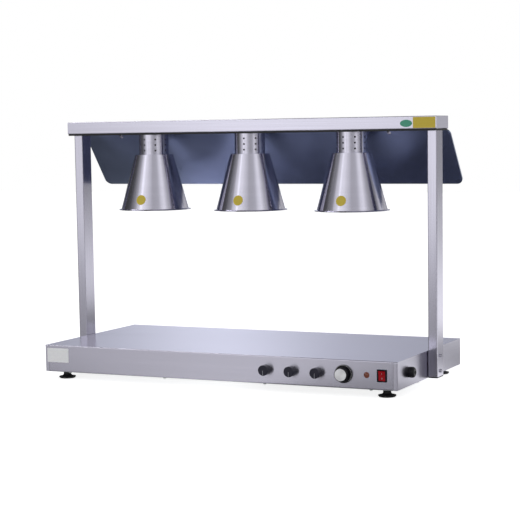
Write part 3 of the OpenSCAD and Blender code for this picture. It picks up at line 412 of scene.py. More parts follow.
def piece(name, body, mesh, material, smooth=True):
    """A finished piece at the origin, riding on its body."""
    made = placed(name, mesh)
    if smooth:
        mesh.shade_smooth()
        mesh.set_sharp_from_angle(angle=SHARP)
    if not mesh.materials:
        mesh.materials.append(material)
    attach(made, body)
    return made


def mesh_from(name, verts, faces):
    """Mesh of points and faces, with its doubles merged and its faces turned outwards."""
    mesh = bpy.data.meshes.new(name)
    shape = bmesh.new()
    corners = [shape.verts.new(v) for v in verts]
    for face in faces:
        shape.faces.new([corners[i] for i in face])
    bmesh.ops.remove_doubles(shape, verts=shape.verts, dist=1e-7)
    bmesh.ops.recalc_face_normals(shape, faces=shape.faces)
    shape.to_mesh(mesh)
    shape.free()
    return mesh


def lathe(name, profile, centre, steps=64):
    """Closed solid turned about a vertical axis from (radius, height) points, ends on the axis."""
    verts, faces = [], []
    for k in range(steps):
        a = tau * k / steps
        verts += [(centre[0] + r * cos(a), centre[1] + r * sin(a), z) for r, z in profile]
    n = len(profile)
    for k in range(steps):
        here, there = k * n, (k + 1) % steps * n
        for i in range(n - 1):
            ring = [here + i, there + i, there + i + 1, here + i + 1]
            if profile[i][0] == 0:
                del ring[1]
            elif profile[i + 1][0] == 0:
                del ring[2]
            faces.append(ring)
    return mesh_from(name, verts, faces)


def plate_on(name, outline, surface, thickness):
    """Thin solid over an outline of (u, v) points: surface(u, v) gives a point and its normal."""
    verts, faces = [], []
    for u, v in outline:
        point, normal = surface(u, v)
        verts += [point, point + normal * thickness]
    n = len(outline)
    for i in range(n):
        a, b = 2 * i, 2 * ((i + 1) % n)
        faces.append((a, b, b + 1, a + 1))
    faces.append([2 * i + 1 for i in range(n)])
    faces.append([2 * i for i in reversed(range(n))])
    return mesh_from(name, verts, faces)


def round_corners(width, height, radius, steps=6):
    """Outline of a rectangle with round corners, centred."""
    points = []
    for turn, (sx, sy) in enumerate(((1, 1), (-1, 1), (-1, -1), (1, -1))):
        for k in range(steps + 1):
            a = radians(90 * (turn + k / steps))
            points.append((sx * (width / 2 - radius) + radius * cos(a),
                           sy * (height / 2 - radius) + radius * sin(a)))
    return points


def grown(tree, inputs, material):
    """Mesh that a Geometry Nodes tree makes from named inputs."""
    holder = placed("grown", bpy.data.meshes.new("grown"))
    modifier = holder.modifiers.new("grown", "NODES")
    modifier.node_group = tree
    given = {**inputs, "Material": material}
    for item in tree.interface.items_tree:
        if item.in_out == "INPUT":
            modifier[item.identifier] = given[item.name]
    shown = holder.evaluated_get(bpy.context.evaluated_depsgraph_get())
    copy = bpy.data.meshes.new_from_object(shown)
    bpy.data.objects.remove(holder)
    return copy


def tree_with(name, **kinds):
    """Geometry Nodes tree with named inputs of some kinds: (tree, inputs, output)."""
    tree = bpy.data.node_groups.new(name, "GeometryNodeTree")
    for socket, kind in (*kinds.items(), ("Material", "Material")):
        tree.interface.new_socket(name=socket, in_out="INPUT", socket_type=f"NodeSocket{kind}")
    tree.interface.new_socket(name="Geometry", in_out="OUTPUT", socket_type="NodeSocketGeometry")
    return tree, add(tree, "NodeGroupInput").outputs, add(tree, "NodeGroupOutput")


def end_tree(tree, geometry, given, output):
    """Ends a tree: its instances made real, flat shaded and given their material."""
    real = add(tree, "GeometryNodeRealizeInstances", [("Geometry", geometry)])
    flat = add(tree, "GeometryNodeSetShadeSmooth", [("Geometry", real), ("Shade Smooth", False)])
    coated = add(tree, "GeometryNodeSetMaterial", [("Geometry", flat), ("Material", given["Material"])])
    tree.links.new(coated.outputs[0], output.inputs[0])
    return tree


def ring_of_bars_tree():
    """Bars set round the Z axis, from Start in steps of Step, each Size long, wide and high and
    leaning by Lean towards the axis."""
    tree, given, output = tree_with(
        "ring_of_bars", Count="Int", Radius="Float", Start="Float", Step="Float", Size="Vector",
        Lean="Float")
    index = add(tree, "GeometryNodeInputIndex")
    angle = add(tree, "ShaderNodeMath", [(0, index), (1, given["Step"]), (2, given["Start"])],
                operation="MULTIPLY_ADD")
    arm = add(tree, "ShaderNodeCombineXYZ", [("X", given["Radius"])])
    place = add(tree, "ShaderNodeVectorRotate", [("Vector", arm), ("Angle", angle)],
                rotation_type="Z_AXIS")
    points = add(tree, "GeometryNodePoints", [("Count", given["Count"]), ("Position", place)])
    bar = add(tree, "GeometryNodeMeshCube", [("Size", given["Size"])])
    turn = add(tree, "ShaderNodeCombineXYZ", [("Y", given["Lean"]), ("Z", angle)])
    turned = add(tree, "FunctionNodeEulerToRotation", [(0, turn)])
    bars = add(tree, "GeometryNodeInstanceOnPoints", [
        ("Points", points), ("Instance", bar), ("Rotation", turned)])
    return end_tree(tree, bars, given, output)


def thread_tree():
    """Threaded rod along Z: a cylinder whose wall is cut by a helical groove."""
    tree, given, output = tree_with(
        "threaded_rod", Radius="Float", Length="Float", Pitch="Float", Depth="Float", Sides="Int",
        Steps="Int")
    rod = add(tree, "GeometryNodeMeshCylinder", [
        ("Vertices", given["Sides"]), ("Side Segments", given["Steps"]),
        ("Radius", given["Radius"]), ("Depth", given["Length"])])
    place = add(tree, "GeometryNodeInputPosition")
    parts = add(tree, "ShaderNodeSeparateXYZ", [(0, place)]).outputs
    angle = add(tree, "ShaderNodeMath", [(0, parts["Y"]), (1, parts["X"])], operation="ARCTAN2")
    turns = add(tree, "ShaderNodeMath", [(0, angle), (1, tau)], operation="DIVIDE")
    height = add(tree, "ShaderNodeMath", [(0, parts["Z"]), (1, given["Pitch"])], operation="DIVIDE")
    rise = add(tree, "ShaderNodeMath", [(0, height), (1, turns)], operation="SUBTRACT")
    # The wave goes from 0 to a half, so twice the depth times the wave is the cut
    wave = add(tree, "ShaderNodeMath", [(0, rise), (1, 0.5)], operation="PINGPONG")
    groove = add(tree, "ShaderNodeMath", [(0, wave), (1, given["Depth"])], operation="MULTIPLY")
    inward = add(tree, "ShaderNodeMath", [(0, groove), (1, -2.0)], operation="MULTIPLY")
    flat = add(tree, "ShaderNodeVectorMath", [(0, place), (1, (1, 1, 0))], operation="MULTIPLY")
    way = add(tree, "ShaderNodeVectorMath", [(0, flat)], operation="NORMALIZE")
    offset = add(tree, "ShaderNodeVectorMath", [(0, way), ("Scale", inward)], operation="SCALE")
    cut = add(tree, "GeometryNodeSetPosition", [("Geometry", rod), ("Offset", offset)])
    return end_tree(tree, cut, given, output)


def edging(name, low, high, wall):
    """Upright band of some wall thickness round the rectangle from low to high."""
    verts = []
    for inset in (0, wall):
        for z in (low.z, high.z):
            verts += [(low.x + inset, low.y + inset, z), (high.x - inset, low.y + inset, z),
                      (high.x - inset, high.y - inset, z), (low.x + inset, high.y - inset, z)]
    faces = []
    for k in range(4):
        n = (k + 1) % 4
        faces += [(k, n, 4 + n, 4 + k), (8 + n, 8 + k, 12 + k, 12 + n),
                  (k, 8 + k, 8 + n, n), (4 + k, 4 + n, 12 + n, 12 + k)]
    return mesh_from(name, verts, faces)


def upright(x, y, z):
    """Flat surface that faces the front, with (u, v) measured from (x, z)."""
    return lambda u, v: (Vector((x + u, y, z + v)), Vector((0, -1, 0)))


def facing_front(mesh, centre):
    """Turns a mesh made along Z so that it points out of the front panel, at centre."""
    mesh.transform(Matrix.Translation(centre) @ Matrix.Rotation(radians(90), 4, "X"))
    return mesh


# Operators


class WARMER_OT_sheet_metal(bpy.types.Operator):
    """Brushed, spun and galvanised finishes of the base, posts, rail, lamps and plates"""
    bl_idname = "warmer.sheet_metal"
    bl_label = "Sheet metal"
    bl_options = {"REGISTER", "UNDO"}

    def execute(self, context):
        sizes, colours = context.scene.warmer_sizes, context.scene.warmer_colours
        steel, pitch = colours.steel, sizes.brush_pitch
        finish(brushed_sheet("stainless brushed lengthwise", steel, pitch, (1, 0, 0)),
               "top_cover", "top_rail", "rail_bottom_plate")
        finish(brushed_sheet("stainless brushed front to back", steel, pitch, (0, 1, 0), (0.27, 0.34)),
               "left_side_panel", "right_side_panel", "rail_end_caps")
        finish(brushed_sheet("stainless brushed upright", steel, pitch, (0, 0, 1)),
               "left_post", "right_post", "guard_brackets")
        finish(spun_shell("stainless spun on a lathe", steel, sizes.spin_pitch),
               *(f"{side}_lamp_{part}" for side in SIDES for part in ("neck", "shade")))
        finish(galvanised("steel galvanised", colours.zinc),
               "bottom_plate", "top_stiffener", "heat_shield")
        finish(plated("steel zinc plated", colours.zinc),
               "element_clamps", "foot_nuts", "post_backing_plates", "post_head_brackets",
               "cover_screws", "lamp_nipples", "control_nuts", "thermostat_shaft",
               *(f"{side}_lamp_shaft" for side in SIDES))
        finish(plated("stainless bolts cold headed", *shades(steel, 0.8), roughness=0.25),
               "guard_bolts", "post_bolts")
        return {"FINISHED"}


class WARMER_OT_lamps(bpy.types.Operator):
    """Bulbs with their caps and ceramic lampholders"""
    bl_idname = "warmer.lamps"
    bl_label = "Lamps"
    bl_options = {"REGISTER", "UNDO"}

    def execute(self, context):
        colours = context.scene.warmer_colours
        finish(frosted_bulb("soda glass blown and etched"), *(f"{side}_bulb" for side in SIDES))
        finish(plated("brass nickel plated", colours.brass, roughness=0.25), "bulb_caps")
        finish(glazed("steatite glazed", colours.ceramic),
               "terminal_block", *(f"{side}_lampholder" for side in SIDES))
        return {"FINISHED"}


class WARMER_OT_guard(bpy.types.Operator):
    """Coated glass of the guard, and the edging under the rail beside it"""
    bl_idname = "warmer.guard"
    bl_label = "Guard"
    bl_options = {"REGISTER", "UNDO"}

    def execute(self, context):
        colours = context.scene.warmer_colours
        finish(coated_glass("float glass coated", colours.coating), "guard_glass")
        # Black band hanging under the rail, a little inside its outline, where the rail's underside looks
        # dark
        low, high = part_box("top_rail")
        tall, wall, inset = 4.6 * MM, 1.1 * MM, Vector((2 * MM, 0.8 * MM, 0))
        foot = Vector((low.x, low.y, low.z - tall)) + inset
        band = edging("edging", foot, Vector((high.x, high.y, low.z)) - inset, wall)
        piece("rail_edging", "stand", band, rubber("silicone extruded black", colours.rubber),
              smooth=False)
        return {"FINISHED"}


class WARMER_OT_controls(bpy.types.Operator):
    """Knobs with their pointers and marks, pilot lamp and rocker"""
    bl_idname = "warmer.controls"
    bl_label = "Controls"
    bl_options = {"REGISTER", "UNDO"}

    def execute(self, context):
        sizes, colours = context.scene.warmer_sizes, context.scene.warmer_colours
        finish(moulded("thermoplastic moulded black", colours.abs_black, roughness=0.2, gloss=0.25),
               "thermostat_knob", "switch_housing")
        finish(moulded("thermoplastic moulded blue black", colours.knob, roughness=0.2, gloss=0.25),
               *(f"{side}_lamp_knob" for side in SIDES))
        finish(turned_disc("aluminium turned and anodised", colours.disc), "thermostat_disc")
        finish(pilot_plastic("polycarbonate moulded amber", colours.lens, colours.abs_black),
               "pilot_lamp")
        finish(moulded("polycarbonate moulded red", colours.rocker, 0.18, depth=0.005, gloss=0.25),
               "power_rocker")
        finish(moulded("polyamide moulded blue", colours.dimmer), "lamp_dimmers")
        finish(moulded("polyamide moulded cream", colours.ceramic), "thermostat_body")
        ink = printed("ink printed white", colours.marks)
        faded = printed("ink printed pale", *shades(colours.marks, 0.45))
        grey = printed("enamel filled grey", colours.pointer)
        for side in SIDES:
            self.pointer(side, grey)
        self.dial_marks(sizes, ink)
        self.rocker_marks(faded)
        return {"FINISHED"}

    def pointer(self, side, material):
        """Line inlaid in the groove from the middle of a lamp knob down to its edge."""
        sunk, margin, width, thick = 0.5 * MM, 1.6 * MM, 1.0 * MM, 0.35 * MM
        low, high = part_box(f"{side}_lamp_knob")
        middle, front = centre_of(f"{side}_lamp_knob"), low.y + sunk
        reach = (high.z - low.z) / 2 - margin
        outline = [(u, v - reach / 2) for u, v in round_corners(width, reach, width / 2.2)]
        line = plate_on("pointer", outline, upright(middle.x, front, middle.z), thick)
        piece(f"{side}_lamp_knob_pointer", f"{side}_lamp_control", line, material)

    def dial_marks(self, sizes, material):
        """Ticks printed on the bevelled skirt of the thermostat knob."""
        low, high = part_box("thermostat_knob")
        # Middle of the bevel, from the skirt's edge and from its back, and its rise over its run
        inward, forward, slope = 1.0 * MM, 3.75 * MM, atan2(2.5, 2.0)
        mesh = grown(ring_of_bars_tree(), {
            "Count": sizes.ticks, "Radius": (high.x - low.x) / 2 - inward, "Start": radians(-45),
            "Step": radians(270) / (sizes.ticks - 1), "Size": (sizes.tick, 0.7 * MM, 0.12 * MM),
            "Lean": slope,
        }, material)
        centre = Vector(((low.x + high.x) / 2, high.y - forward, CONTROL_Z))
        piece("thermostat_marks", "thermostat_control", facing_front(mesh, centre), material,
              smooth=False)

    def rocker_marks(self, material):
        """A bar on the upper half of the rocker and a ring on the lower half."""
        # The pin lies behind the panel, and the faces meet at the ridge in front of it
        tilt, pin, ridge = radians(8), 3 * MM, 4 * MM
        pivot = Vector((centre_of("power_rocker").x, PANEL_Y + pin, CONTROL_Z))

        def face(half):
            """Surface of the upper (1) or lower (-1) half of the rocker."""
            lean = tilt * (half + 1)
            normal = Vector((0, -cos(lean), -sin(lean)))

            def at(u, v):
                rise = ridge + abs(v) * tan(tilt)
                forward = v * sin(tilt) + rise * cos(tilt)
                up = v * cos(tilt) - rise * sin(tilt)
                return pivot + Vector((u, -forward, up)), normal
            return at

        middle, upper, lower = 6 * MM, face(1), face(-1)
        outline = [(u, v + middle) for u, v in round_corners(0.8 * MM, 4.2 * MM, 0.3 * MM)]
        bar = plate_on("bar", outline, upper, 0.1 * MM)
        piece("rocker_on_mark", "power_rocker", bar, material)
        # Radius and height of the ring's section in millimetres
        section, steps = ((1.9, 0), (1.9, 0.1), (1.3, 0.1), (1.3, 0)), 28
        verts, faces = [], []
        for k in range(steps):
            a = tau * k / steps
            for r, lift in section:
                point, normal = lower(r * MM * cos(a), r * MM * sin(a) - middle)
                verts.append(point + normal * lift * MM)
            here, there = 4 * k, (k + 1) % steps * 4
            faces += [(here + i, there + i, there + (i + 1) % 4, here + (i + 1) % 4) for i in range(4)]
        ring = mesh_from("ring", verts, faces)
        piece("rocker_off_mark", "power_rocker", ring, material)


class WARMER_OT_feet(bpy.types.Operator):
    """Rubber pads of the levelling feet on their threaded studs"""
    bl_idname = "warmer.feet"
    bl_label = "Feet"
    bl_options = {"REGISTER", "UNDO"}

    def execute(self, context):
        sizes, colours = context.scene.warmer_sizes, context.scene.warmer_colours
        black = rubber("nitrile rubber moulded", colours.rubber)
        zinc = plated("steel thread rolled", colours.zinc)
        tree = thread_tree()
        pad, tread, hub = sizes.pad / 2, sizes.tread / 2, sizes.hub / 2
        # Heights of the pad's edge, of the flare above it, and of the hub's top, just under the base
        edge, flare, top = 4.8 * MM, 12 * MM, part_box("bottom_plate")[0].z - 0.3 * MM
        curve = [(hub + (pad - hub) * (1 - sin(a)), edge + (flare - edge) * (1 - cos(a)))
                 for a in (radians(d) for d in range(8, 91, 7))]
        profile = [(0, 0), (tread - 3 * MM, 0), (tread - MM, 0), (tread, 0.4 * MM),
                   (pad - 0.5 * MM, edge - 2.3 * MM), (pad, edge - 1.6 * MM), (pad, edge - 0.4 * MM),
                   (pad - 0.3 * MM, edge), *curve, (hub, flare + 0.5 * MM), (hub, top - 0.6 * MM),
                   (hub - 0.6 * MM, top), (0, top)]
        for place in FOOT_PLACES:
            low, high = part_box(f"{place}_foot")
            x, y = (low.x + high.x) / 2, (low.y + high.y) / 2
            shape = piece(f"{place}_foot_pad", f"{place}_foot",
                          lathe("foot pad", profile, (x, y)), black)
            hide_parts(f"{place}_foot")
            # The stud reaches 1 mm into the hub, and each turn of its thread has 8 steps
            reach = high.z - top + MM
            rod = grown(tree, {
                "Radius": sizes.stud / 2, "Length": reach, "Pitch": sizes.pitch,
                "Depth": 0.55 * sizes.pitch, "Sides": 32, "Steps": round(reach / sizes.pitch * 8),
            }, zinc)
            rod.transform(Matrix.Translation((x, y, high.z - reach / 2)))
            piece(f"{place}_foot_stud", f"{place}_foot", rod, zinc)
        return {"FINISHED"}


class WARMER_OT_supply(bpy.types.Operator):
    """Cable gland with its grip ribs, and the wiring"""
    bl_idname = "warmer.supply"
    bl_label = "Supply"
    bl_options = {"REGISTER", "UNDO"}

    def execute(self, context):
        sizes, colours = context.scene.warmer_sizes, context.scene.warmer_colours
        nylon = moulded("polyamide moulded black", colours.abs_black, roughness=0.4, gloss=0.3)
        finish(nylon, "cable_gland", "post_end_plugs")
        finish(moulded("silicone extruded", colours.sleeve, roughness=0.55), "wiring_loom")
        low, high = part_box("cable_gland")
        # Ribs sunk half way into the nut, whose middle lies a little inside the gland's end
        sunk, inward, rib = 0.5 * MM, 8.4 * MM, (1.0 * MM, 1.1 * MM, 5.6 * MM)
        ribs = grown(ring_of_bars_tree(), {
            "Count": sizes.ribs, "Radius": (high.z - low.z) / 2 - sunk, "Start": 0.0,
            "Step": tau / sizes.ribs, "Size": rib, "Lean": 0.0,
        }, nylon)
        ribs.transform(Matrix.Translation((high.x - inward, (low.y + high.y) / 2, CONTROL_Z))
                       @ Matrix.Rotation(radians(90), 4, "Y"))
        piece("cable_gland_ribs", "stand", ribs, nylon, smooth=False)
        return {"FINISHED"}


class WARMER_OT_inner_parts(bpy.types.Operator):
    """Heating elements, insulation and probe inside the base"""
    bl_idname = "warmer.inner_parts"
    bl_label = "Inner parts"
    bl_options = {"REGISTER", "UNDO"}

    def execute(self, context):
        colours = context.scene.warmer_colours
        finish(oxidised_sheath("nickel alloy drawn and fired", colours.sheath), "heating_elements")
        finish(fibre_blanket("mineral fibre needled", colours.wool), "insulation_blankets")
        finish(plated("copper drawn", colours.copper), "thermostat_probe")
        return {"FINISHED"}


class WARMER_OT_stickers(bpy.types.Operator):
    """Blank rating plate and plain stickers"""
    bl_idname = "warmer.stickers"
    bl_label = "Stickers"
    bl_options = {"REGISTER", "UNDO"}

    def execute(self, context):
        sizes, colours = context.scene.warmer_sizes, context.scene.warmer_colours
        yellow = printed("vinyl printed yellow", colours.yellow)
        green = printed("vinyl printed green", colours.green)
        blank = printed("polyester film blank", colours.plate, roughness=0.3)
        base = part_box("bottom_plate")[1].z
        skirt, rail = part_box("top_cover")[0].y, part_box("top_rail")[0].y
        plate = round_corners(65.4 * MM, 37.6 * MM, 2 * MM)
        strip = round_corners(59 * MM, 27.5 * MM, MM)
        oval = [(16 * MM * cos(a), 9 * MM * sin(a)) for a in (tau * k / 40 for k in range(40))]
        # Middle of each, in millimetres from the object's middle and from the base, and its surface
        for name, outline, x, height, front, material, slot in (
            ("rating_plate", plate, -461, 43.4, skirt, blank, "silver_disc"),
            ("rail_sticker", strip, 501.5, 643.8, rail, yellow, None),
            ("rail_dot", oval, 454, 642, rail, green, None),
        ):
            surface = upright(x * MM, front, base + height * MM)
            film = plate_on(name.replace("_", " "), outline, surface, sizes.sticker)
            piece(name, "stand", film, material)
        for side, x in zip(SIDES, (-LAMP_PITCH, 0, LAMP_PITCH)):
            self.shade_dot(side, x, base + 450 * MM, sizes, yellow)
        return {"FINISHED"}

    def shade_dot(self, side, x, height, sizes, material):
        """Round sticker that follows the cone of a shade."""
        bead, gap, facing = 3.5 * MM, 0.05 * MM, radians(2.5)
        low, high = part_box(f"{side}_lamp_shade")
        foot, wide = low.z + bead, sizes.cone_foot / 2
        slope = (sizes.cone_foot - sizes.cone_top) / 2 / (high.z - foot)

        def cone(u, v):
            z = height + v / hypot(1, slope)
            r = wide - slope * (z - foot)
            a = facing + u / r
            out = Vector((sin(a), -cos(a), slope)).normalized()
            return Vector((x + r * sin(a), LAMP_Y - r * cos(a), z)) + out * gap, out

        rings, spokes = 5, 36
        verts, faces = [], []
        for lift in (sizes.sticker, 0):
            for ring in range(rings + 1):
                for k in range(spokes):
                    r, a = sizes.dot / 2 * ring / rings, tau * k / spokes
                    point, normal = cone(r * cos(a), r * sin(a))
                    verts.append(point + normal * lift)
        layer = (rings + 1) * spokes
        for side_start in (0, layer):
            for ring in range(rings):
                for k in range(spokes):
                    a, b = side_start + ring * spokes, (k + 1) % spokes
                    face = [a + k, a + b, a + spokes + b, a + spokes + k]
                    faces.append(face[1:] if ring == 0 else face)
        rim = rings * spokes
        faces += [(rim + k, rim + (k + 1) % spokes, layer + rim + (k + 1) % spokes, layer + rim + k)
                  for k in range(spokes)]
        piece(f"{side}_shade_dot", "stand", mesh_from("shade dot", verts, faces), material)


# Levels of the studio's light by direction: degrees from the front towards the right, and strength
LOW_RING = (
    (-180, 0.3), (-161, 0.5), (-157, 0.6), (-152.8, 1.1), (-148, 0.56), (-142, 0.3), (-118, 0.05),
    (-104, 0.06), (-68, 0.1), (-54, 0.3), (-43, 0.7), (-32, 0.86), (-30, 1.12),
    (-28.5, 1.34), (-26.5, 1.6), (-22.5, 1.4), (-20.5, 1.18), (-18.5, 1.08), (-9, 1.4), (0, 1.3),
    (10, 0.85), (20, 0.66), (38, 0.66), (47, 0.8), (57, 1.0), (68, 0.66), (80, 0.34), (104, 0.35),
    (121, 0.75), (130, 0.4), (148, 0.12), (160, 0.55),
)
HIGH_RING = (
    (-180, 0.3), (-161, 0.5), (-157, 0.64), (-152.8, 1.2), (-148, 0.6), (-142, 0.3), (-118, 0.06),
    (-91, 0.07), (-72, 0.12), (-56, 0.3), (-48, 0.5), (-41, 0.72), (-33, 0.85),
    (-29.5, 1.15), (-26, 1.65), (-22, 1.35), (-12, 1.3), (-4, 1.15), (8, 0.95), (20, 0.64), (31, 0.62),
    (43, 0.7), (54, 1.1), (64, 1.25), (72, 0.95), (79, 0.7), (92, 0.45), (106, 0.2), (120, 0.3),
    (131, 0.9), (143, 1.3), (153, 0.8),
)
CEILING = (
    (-180, 0.45), (-140, 0.4), (-110, 0.05), (0, 0.05), (25, 0.6), (75, 0.6), (95, 0.05), (125, 0.05),
    (145, 0.4), (180, 0.45),
)
# Levels of the painted light and painted shade that the floor shows in reflections, on rings of
# growing radius in metres; the inner two share directions
NEAR = (
    -180, -160, -145, -127, -116, -107, -100, -92, -60, -45, -20, 10, 22, 35, 75, 95, 104, 114, 130,
    165, 180,
)
PAINTED_FLOOR_LIGHT = (
    (0.55, tuple(zip(NEAR, (0.2, 0.3, 0.8, 1.2, 2.0, 2.0, 0.2, 0.15, 0.4, 0.56, 0.68, 0.7, 0.6, 0.2,
        0.2, 0.7, 1.5, 0.8, 0.36, 0.3, 0.2)))),
    (0.85, tuple(zip(NEAR, (0.2, 0.3, 0.8, 1.1, 1.5, 1.4, 0.1, 0.08, 0.4, 0.56, 0.6, 0.5, 0.45, 0.15,
        0.15, 0.7, 1.5, 0.8, 0.4, 0.3, 0.2)))),
    (1.7, ((-180, 0.2), (-130, 0.2), (-95, 0.1), (-60, 0.3), (-35, 0.6), (-15, 0.68), (-8, 0.6),
        (5, 0.35), (25, 0.12), (45, 0.3), (60, 1.7), (80, 1.7), (94, 0.7), (115, 0.9), (130, 1.1),
        (145, 1.35), (155, 1.35), (165, 0.75), (180, 0.2))),
    (8.0, ((-180, 0.45), (-130, 0.2), (-95, 0.12), (-68, 0.16), (-48, 0.55), (-38, 1.0), (-33, 1.2),
        (-27, 1.45), (-20, 1.35), (-10, 1.05), (5, 0.9), (30, 0.4), (75, 0.35), (108, 0.25),
        (122, 0.7), (136, 0.5), (151, 0.5), (157, 1.05), (165, 0.8), (180, 0.45))),
)


def level_around(tree, way, stops, behind=(1, 1, 1)):
    """Colour by the azimuth of a direction, from stops of (degrees, level). 0 degrees is the front
    and 90 the right. Beyond 120 degrees to the left it takes the tint of what is behind."""
    parts = add(tree, "ShaderNodeSeparateXYZ", [(0, way)]).outputs
    ahead = add(tree, "ShaderNodeMath", [(0, parts["Y"]), (1, -1.0)], operation="MULTIPLY")
    azimuth = add(tree, "ShaderNodeMath", [(0, parts["X"]), (1, ahead)], operation="ARCTAN2")
    turn = add(tree, "ShaderNodeMath", [(0, azimuth), (1, 1 / tau), (2, 0.5)], operation="MULTIPLY_ADD")
    ramp = add(tree, "ShaderNodeValToRGB", [("Fac", turn)])
    marks = ramp.color_ramp.elements
    while len(marks) < len(stops):
        marks.new(1.0)
    for mark, (degrees, level) in zip(marks, stops):
        tint = behind if degrees < -120 else (1, 1, 1)
        mark.position = (degrees + 180) / 360
        mark.color = (*(level * channel for channel in tint), 1)
    return ramp.outputs["Color"]


def blended(tree, value, start, end, before, after):
    """Passes smoothly from one colour to another as a value goes from start to end."""
    share = add(tree, "ShaderNodeMapRange", [
        ("Value", value), ("From Min", start), ("From Max", end)], interpolation_type="SMOOTHSTEP")
    return add(tree, "ShaderNodeMix", [(0, share), (6, before), (7, after)], data_type="RGBA").outputs[2]


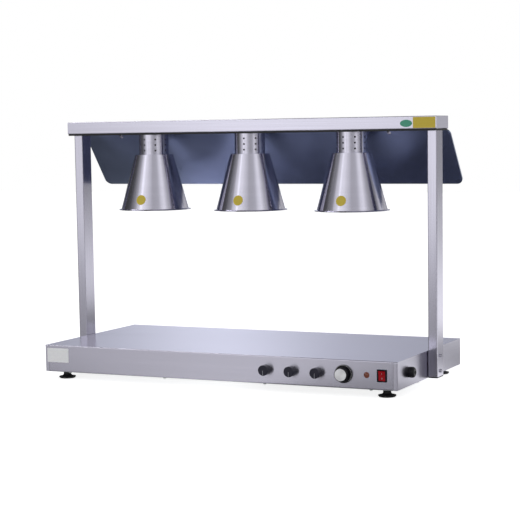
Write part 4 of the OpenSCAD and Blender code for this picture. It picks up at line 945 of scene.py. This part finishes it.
class WARMER_OT_stage(bpy.types.Operator):
    """White sweep, studio light and camera"""
    bl_idname = "warmer.stage"
    bl_label = "Stage"
    bl_options = {"REGISTER", "UNDO"}

    def execute(self, context):
        studio = context.scene.warmer_studio
        self.floor()
        self.world(context.scene)
        self.lamps(studio)
        self.camera(context.scene, studio)
        context.scene.view_settings.view_transform = "Standard"
        return {"FINISHED"}

    def floor(self):
        """White floor that keeps the object's shadow. What the metal mirrors of it is painted light and
        painted shade laid out by place round the object: bright and dark pools that glow for glossy rays
        only."""
        half, lift = 12.0, 0.8
        mesh = bpy.data.meshes.new("floor")
        corners = [(-half, -half, 0), (half, -half, 0), (half, half, 0), (-half, half, 0)]
        mesh.from_pydata(corners, [], [range(4)])
        made = placed("floor", mesh)
        material = bpy.data.materials.new("paper sweep white")
        tree = bare_tree(material)
        point = add(tree, "ShaderNodeTexCoord").outputs["Object"]
        away = add(tree, "ShaderNodeVectorMath", [(0, point)], operation="LENGTH").outputs["Value"]
        inner, painted_floor_light = PAINTED_FLOOR_LIGHT[0][0], level_around(tree, point, PAINTED_FLOOR_LIGHT[0][1])
        for outer, stops in PAINTED_FLOOR_LIGHT[1:]:
            painted_floor_light = blended(tree, away, inner, outer, painted_floor_light, level_around(tree, point, stops))
            inner = outer
        paper = add(tree, "ShaderNodeBsdfDiffuse", [("Color", colour("#F2F2F4"))])
        path = add(tree, "ShaderNodeLightPath").outputs
        shown = add(tree, "ShaderNodeMath", [(0, path["Is Camera Ray"]), (1, lift)], operation="MULTIPLY")
        glow = add(tree, "ShaderNodeEmission", [("Strength", shown)])
        seen = add(tree, "ShaderNodeAddShader", [(0, paper), (1, glow)])
        # The floor's reflection is painted light and painted shade by place, not lit by the lamps
        mirrored = add(tree, "ShaderNodeEmission", [("Color", painted_floor_light)])
        both = add(tree, "ShaderNodeMixShader", [(0, path["Is Glossy Ray"]), (1, seen), (2, mirrored)])
        add(tree, "ShaderNodeOutputMaterial", [("Surface", both)])
        mesh.materials.append(material)

    def world(self, scene):
        """Studio round the object: a low ring, which upright metal mirrors, a high ring, which the
        shades mirror, and a ceiling that is brighter at the back and the front right. The camera
        sees plain white."""
        # Cool light from the windows behind on the left
        window = (1, 1.03, 1.16)
        scene.world = bpy.data.worlds.new("studio")
        tree = bare_tree(scene.world)
        way = add(tree, "ShaderNodeTexCoord").outputs["Generated"]
        height = add(tree, "ShaderNodeSeparateXYZ", [(0, way)]).outputs["Z"]
        level = level_around(tree, way, LOW_RING, window)
        # Heights of the directions between which one level passes to the next
        for start, end, upper in ((0.1, 0.24, level_around(tree, way, HIGH_RING, window)),
                                  (0.5, 0.75, level_around(tree, way, CEILING))):
            level = blended(tree, height, start, end, level, upper)
        path = add(tree, "ShaderNodeLightPath").outputs
        seen = add(tree, "ShaderNodeMix", [
            (0, path["Is Camera Ray"]), (6, level), (7, (1, 1, 1, 1))], data_type="RGBA").outputs[2]
        sky = add(tree, "ShaderNodeBackground", [("Color", seen)])
        add(tree, "ShaderNodeOutputWorld", [("Surface", sky)])

    def lamps(self, studio):
        """Overhead softbox on the left, and a large soft key from the front left."""
        for name, place, aim, size, power in (
            ("overhead_softbox", (-2.05, -0.3, 3.0), (-0.5, 0.0, 0.1), (0.6, 1.8), studio.softbox),
            ("key_light", (-2.2, -3.4, 2.4), (0, 0, 0.3), (1.6, 1.6), studio.key),
        ):
            light = bpy.data.lights.new(name, "AREA")
            light.shape, light.energy = "RECTANGLE", power
            light.size, light.size_y = size
            lamp = placed(name, light)
            lamp.location = place
            lamp.rotation_euler = (Vector(aim) - Vector(place)).to_track_quat("-Z", "Y").to_euler()

    def camera(self, scene, studio):
        """Camera at the photograph's viewing angle."""
        data = bpy.data.cameras.new("camera")
        data.lens, data.sensor_width, data.shift_y = studio.lens, 36, studio.shift
        made = placed("camera", data)
        a, e, r = studio.azimuth, studio.elevation, studio.roll
        ahead = Vector((-sin(a) * cos(e), cos(a) * cos(e), -sin(e)))
        right = Vector((cos(a), sin(a), 0))
        up = right.cross(ahead)
        side, top = right * cos(r) + up * sin(r), up * cos(r) - right * sin(r)
        turn = Matrix((side, top, -ahead)).transposed().to_4x4()
        made.matrix_world = Matrix.Translation(studio.place) @ turn
        scene.camera = made


class WARMER_PT_panel(bpy.types.Panel):
    """Sidebar panel with the sizes, the colours and the pieces"""
    bl_label = "Food Warmer"
    bl_idname = "WARMER_PT_panel"
    bl_space_type = "VIEW_3D"
    bl_region_type = "UI"
    bl_category = "Food Warmer"

    def draw(self, context):
        for name in GROUPS:
            group, box = getattr(context.scene, name), self.layout.box()
            box.label(text=name.removeprefix("warmer_").title())
            for setting in group.__annotations__:
                box.prop(group, setting)
        for operator in OPERATORS:
            self.layout.operator(operator.bl_idname)


GROUPS = {"warmer_sizes": WarmerSizes, "warmer_colours": WarmerColours, "warmer_studio": WarmerStudio}
OPERATORS = (
    WARMER_OT_sheet_metal, WARMER_OT_lamps, WARMER_OT_guard, WARMER_OT_controls, WARMER_OT_feet,
    WARMER_OT_supply, WARMER_OT_inner_parts, WARMER_OT_stickers, WARMER_OT_stage,
)
CLASSES = (*GROUPS.values(), *OPERATORS, WARMER_PT_panel)


def register():
    for made in CLASSES:
        bpy.utils.register_class(made)
    for name, group in GROUPS.items():
        setattr(bpy.types.Scene, name, bpy.props.PointerProperty(type=group))


def unregister():
    for name in GROUPS:
        delattr(bpy.types.Scene, name)
    for made in reversed(CLASSES):
        bpy.utils.unregister_class(made)


def main():
    register()
    for operator in OPERATORS:
        run = getattr(bpy.ops.warmer, operator.bl_idname.removeprefix("warmer."))
        if run() != {"FINISHED"}:
            raise RuntimeError(f"{operator.bl_idname} did not finish")


if __name__ == "__main__":
    main()
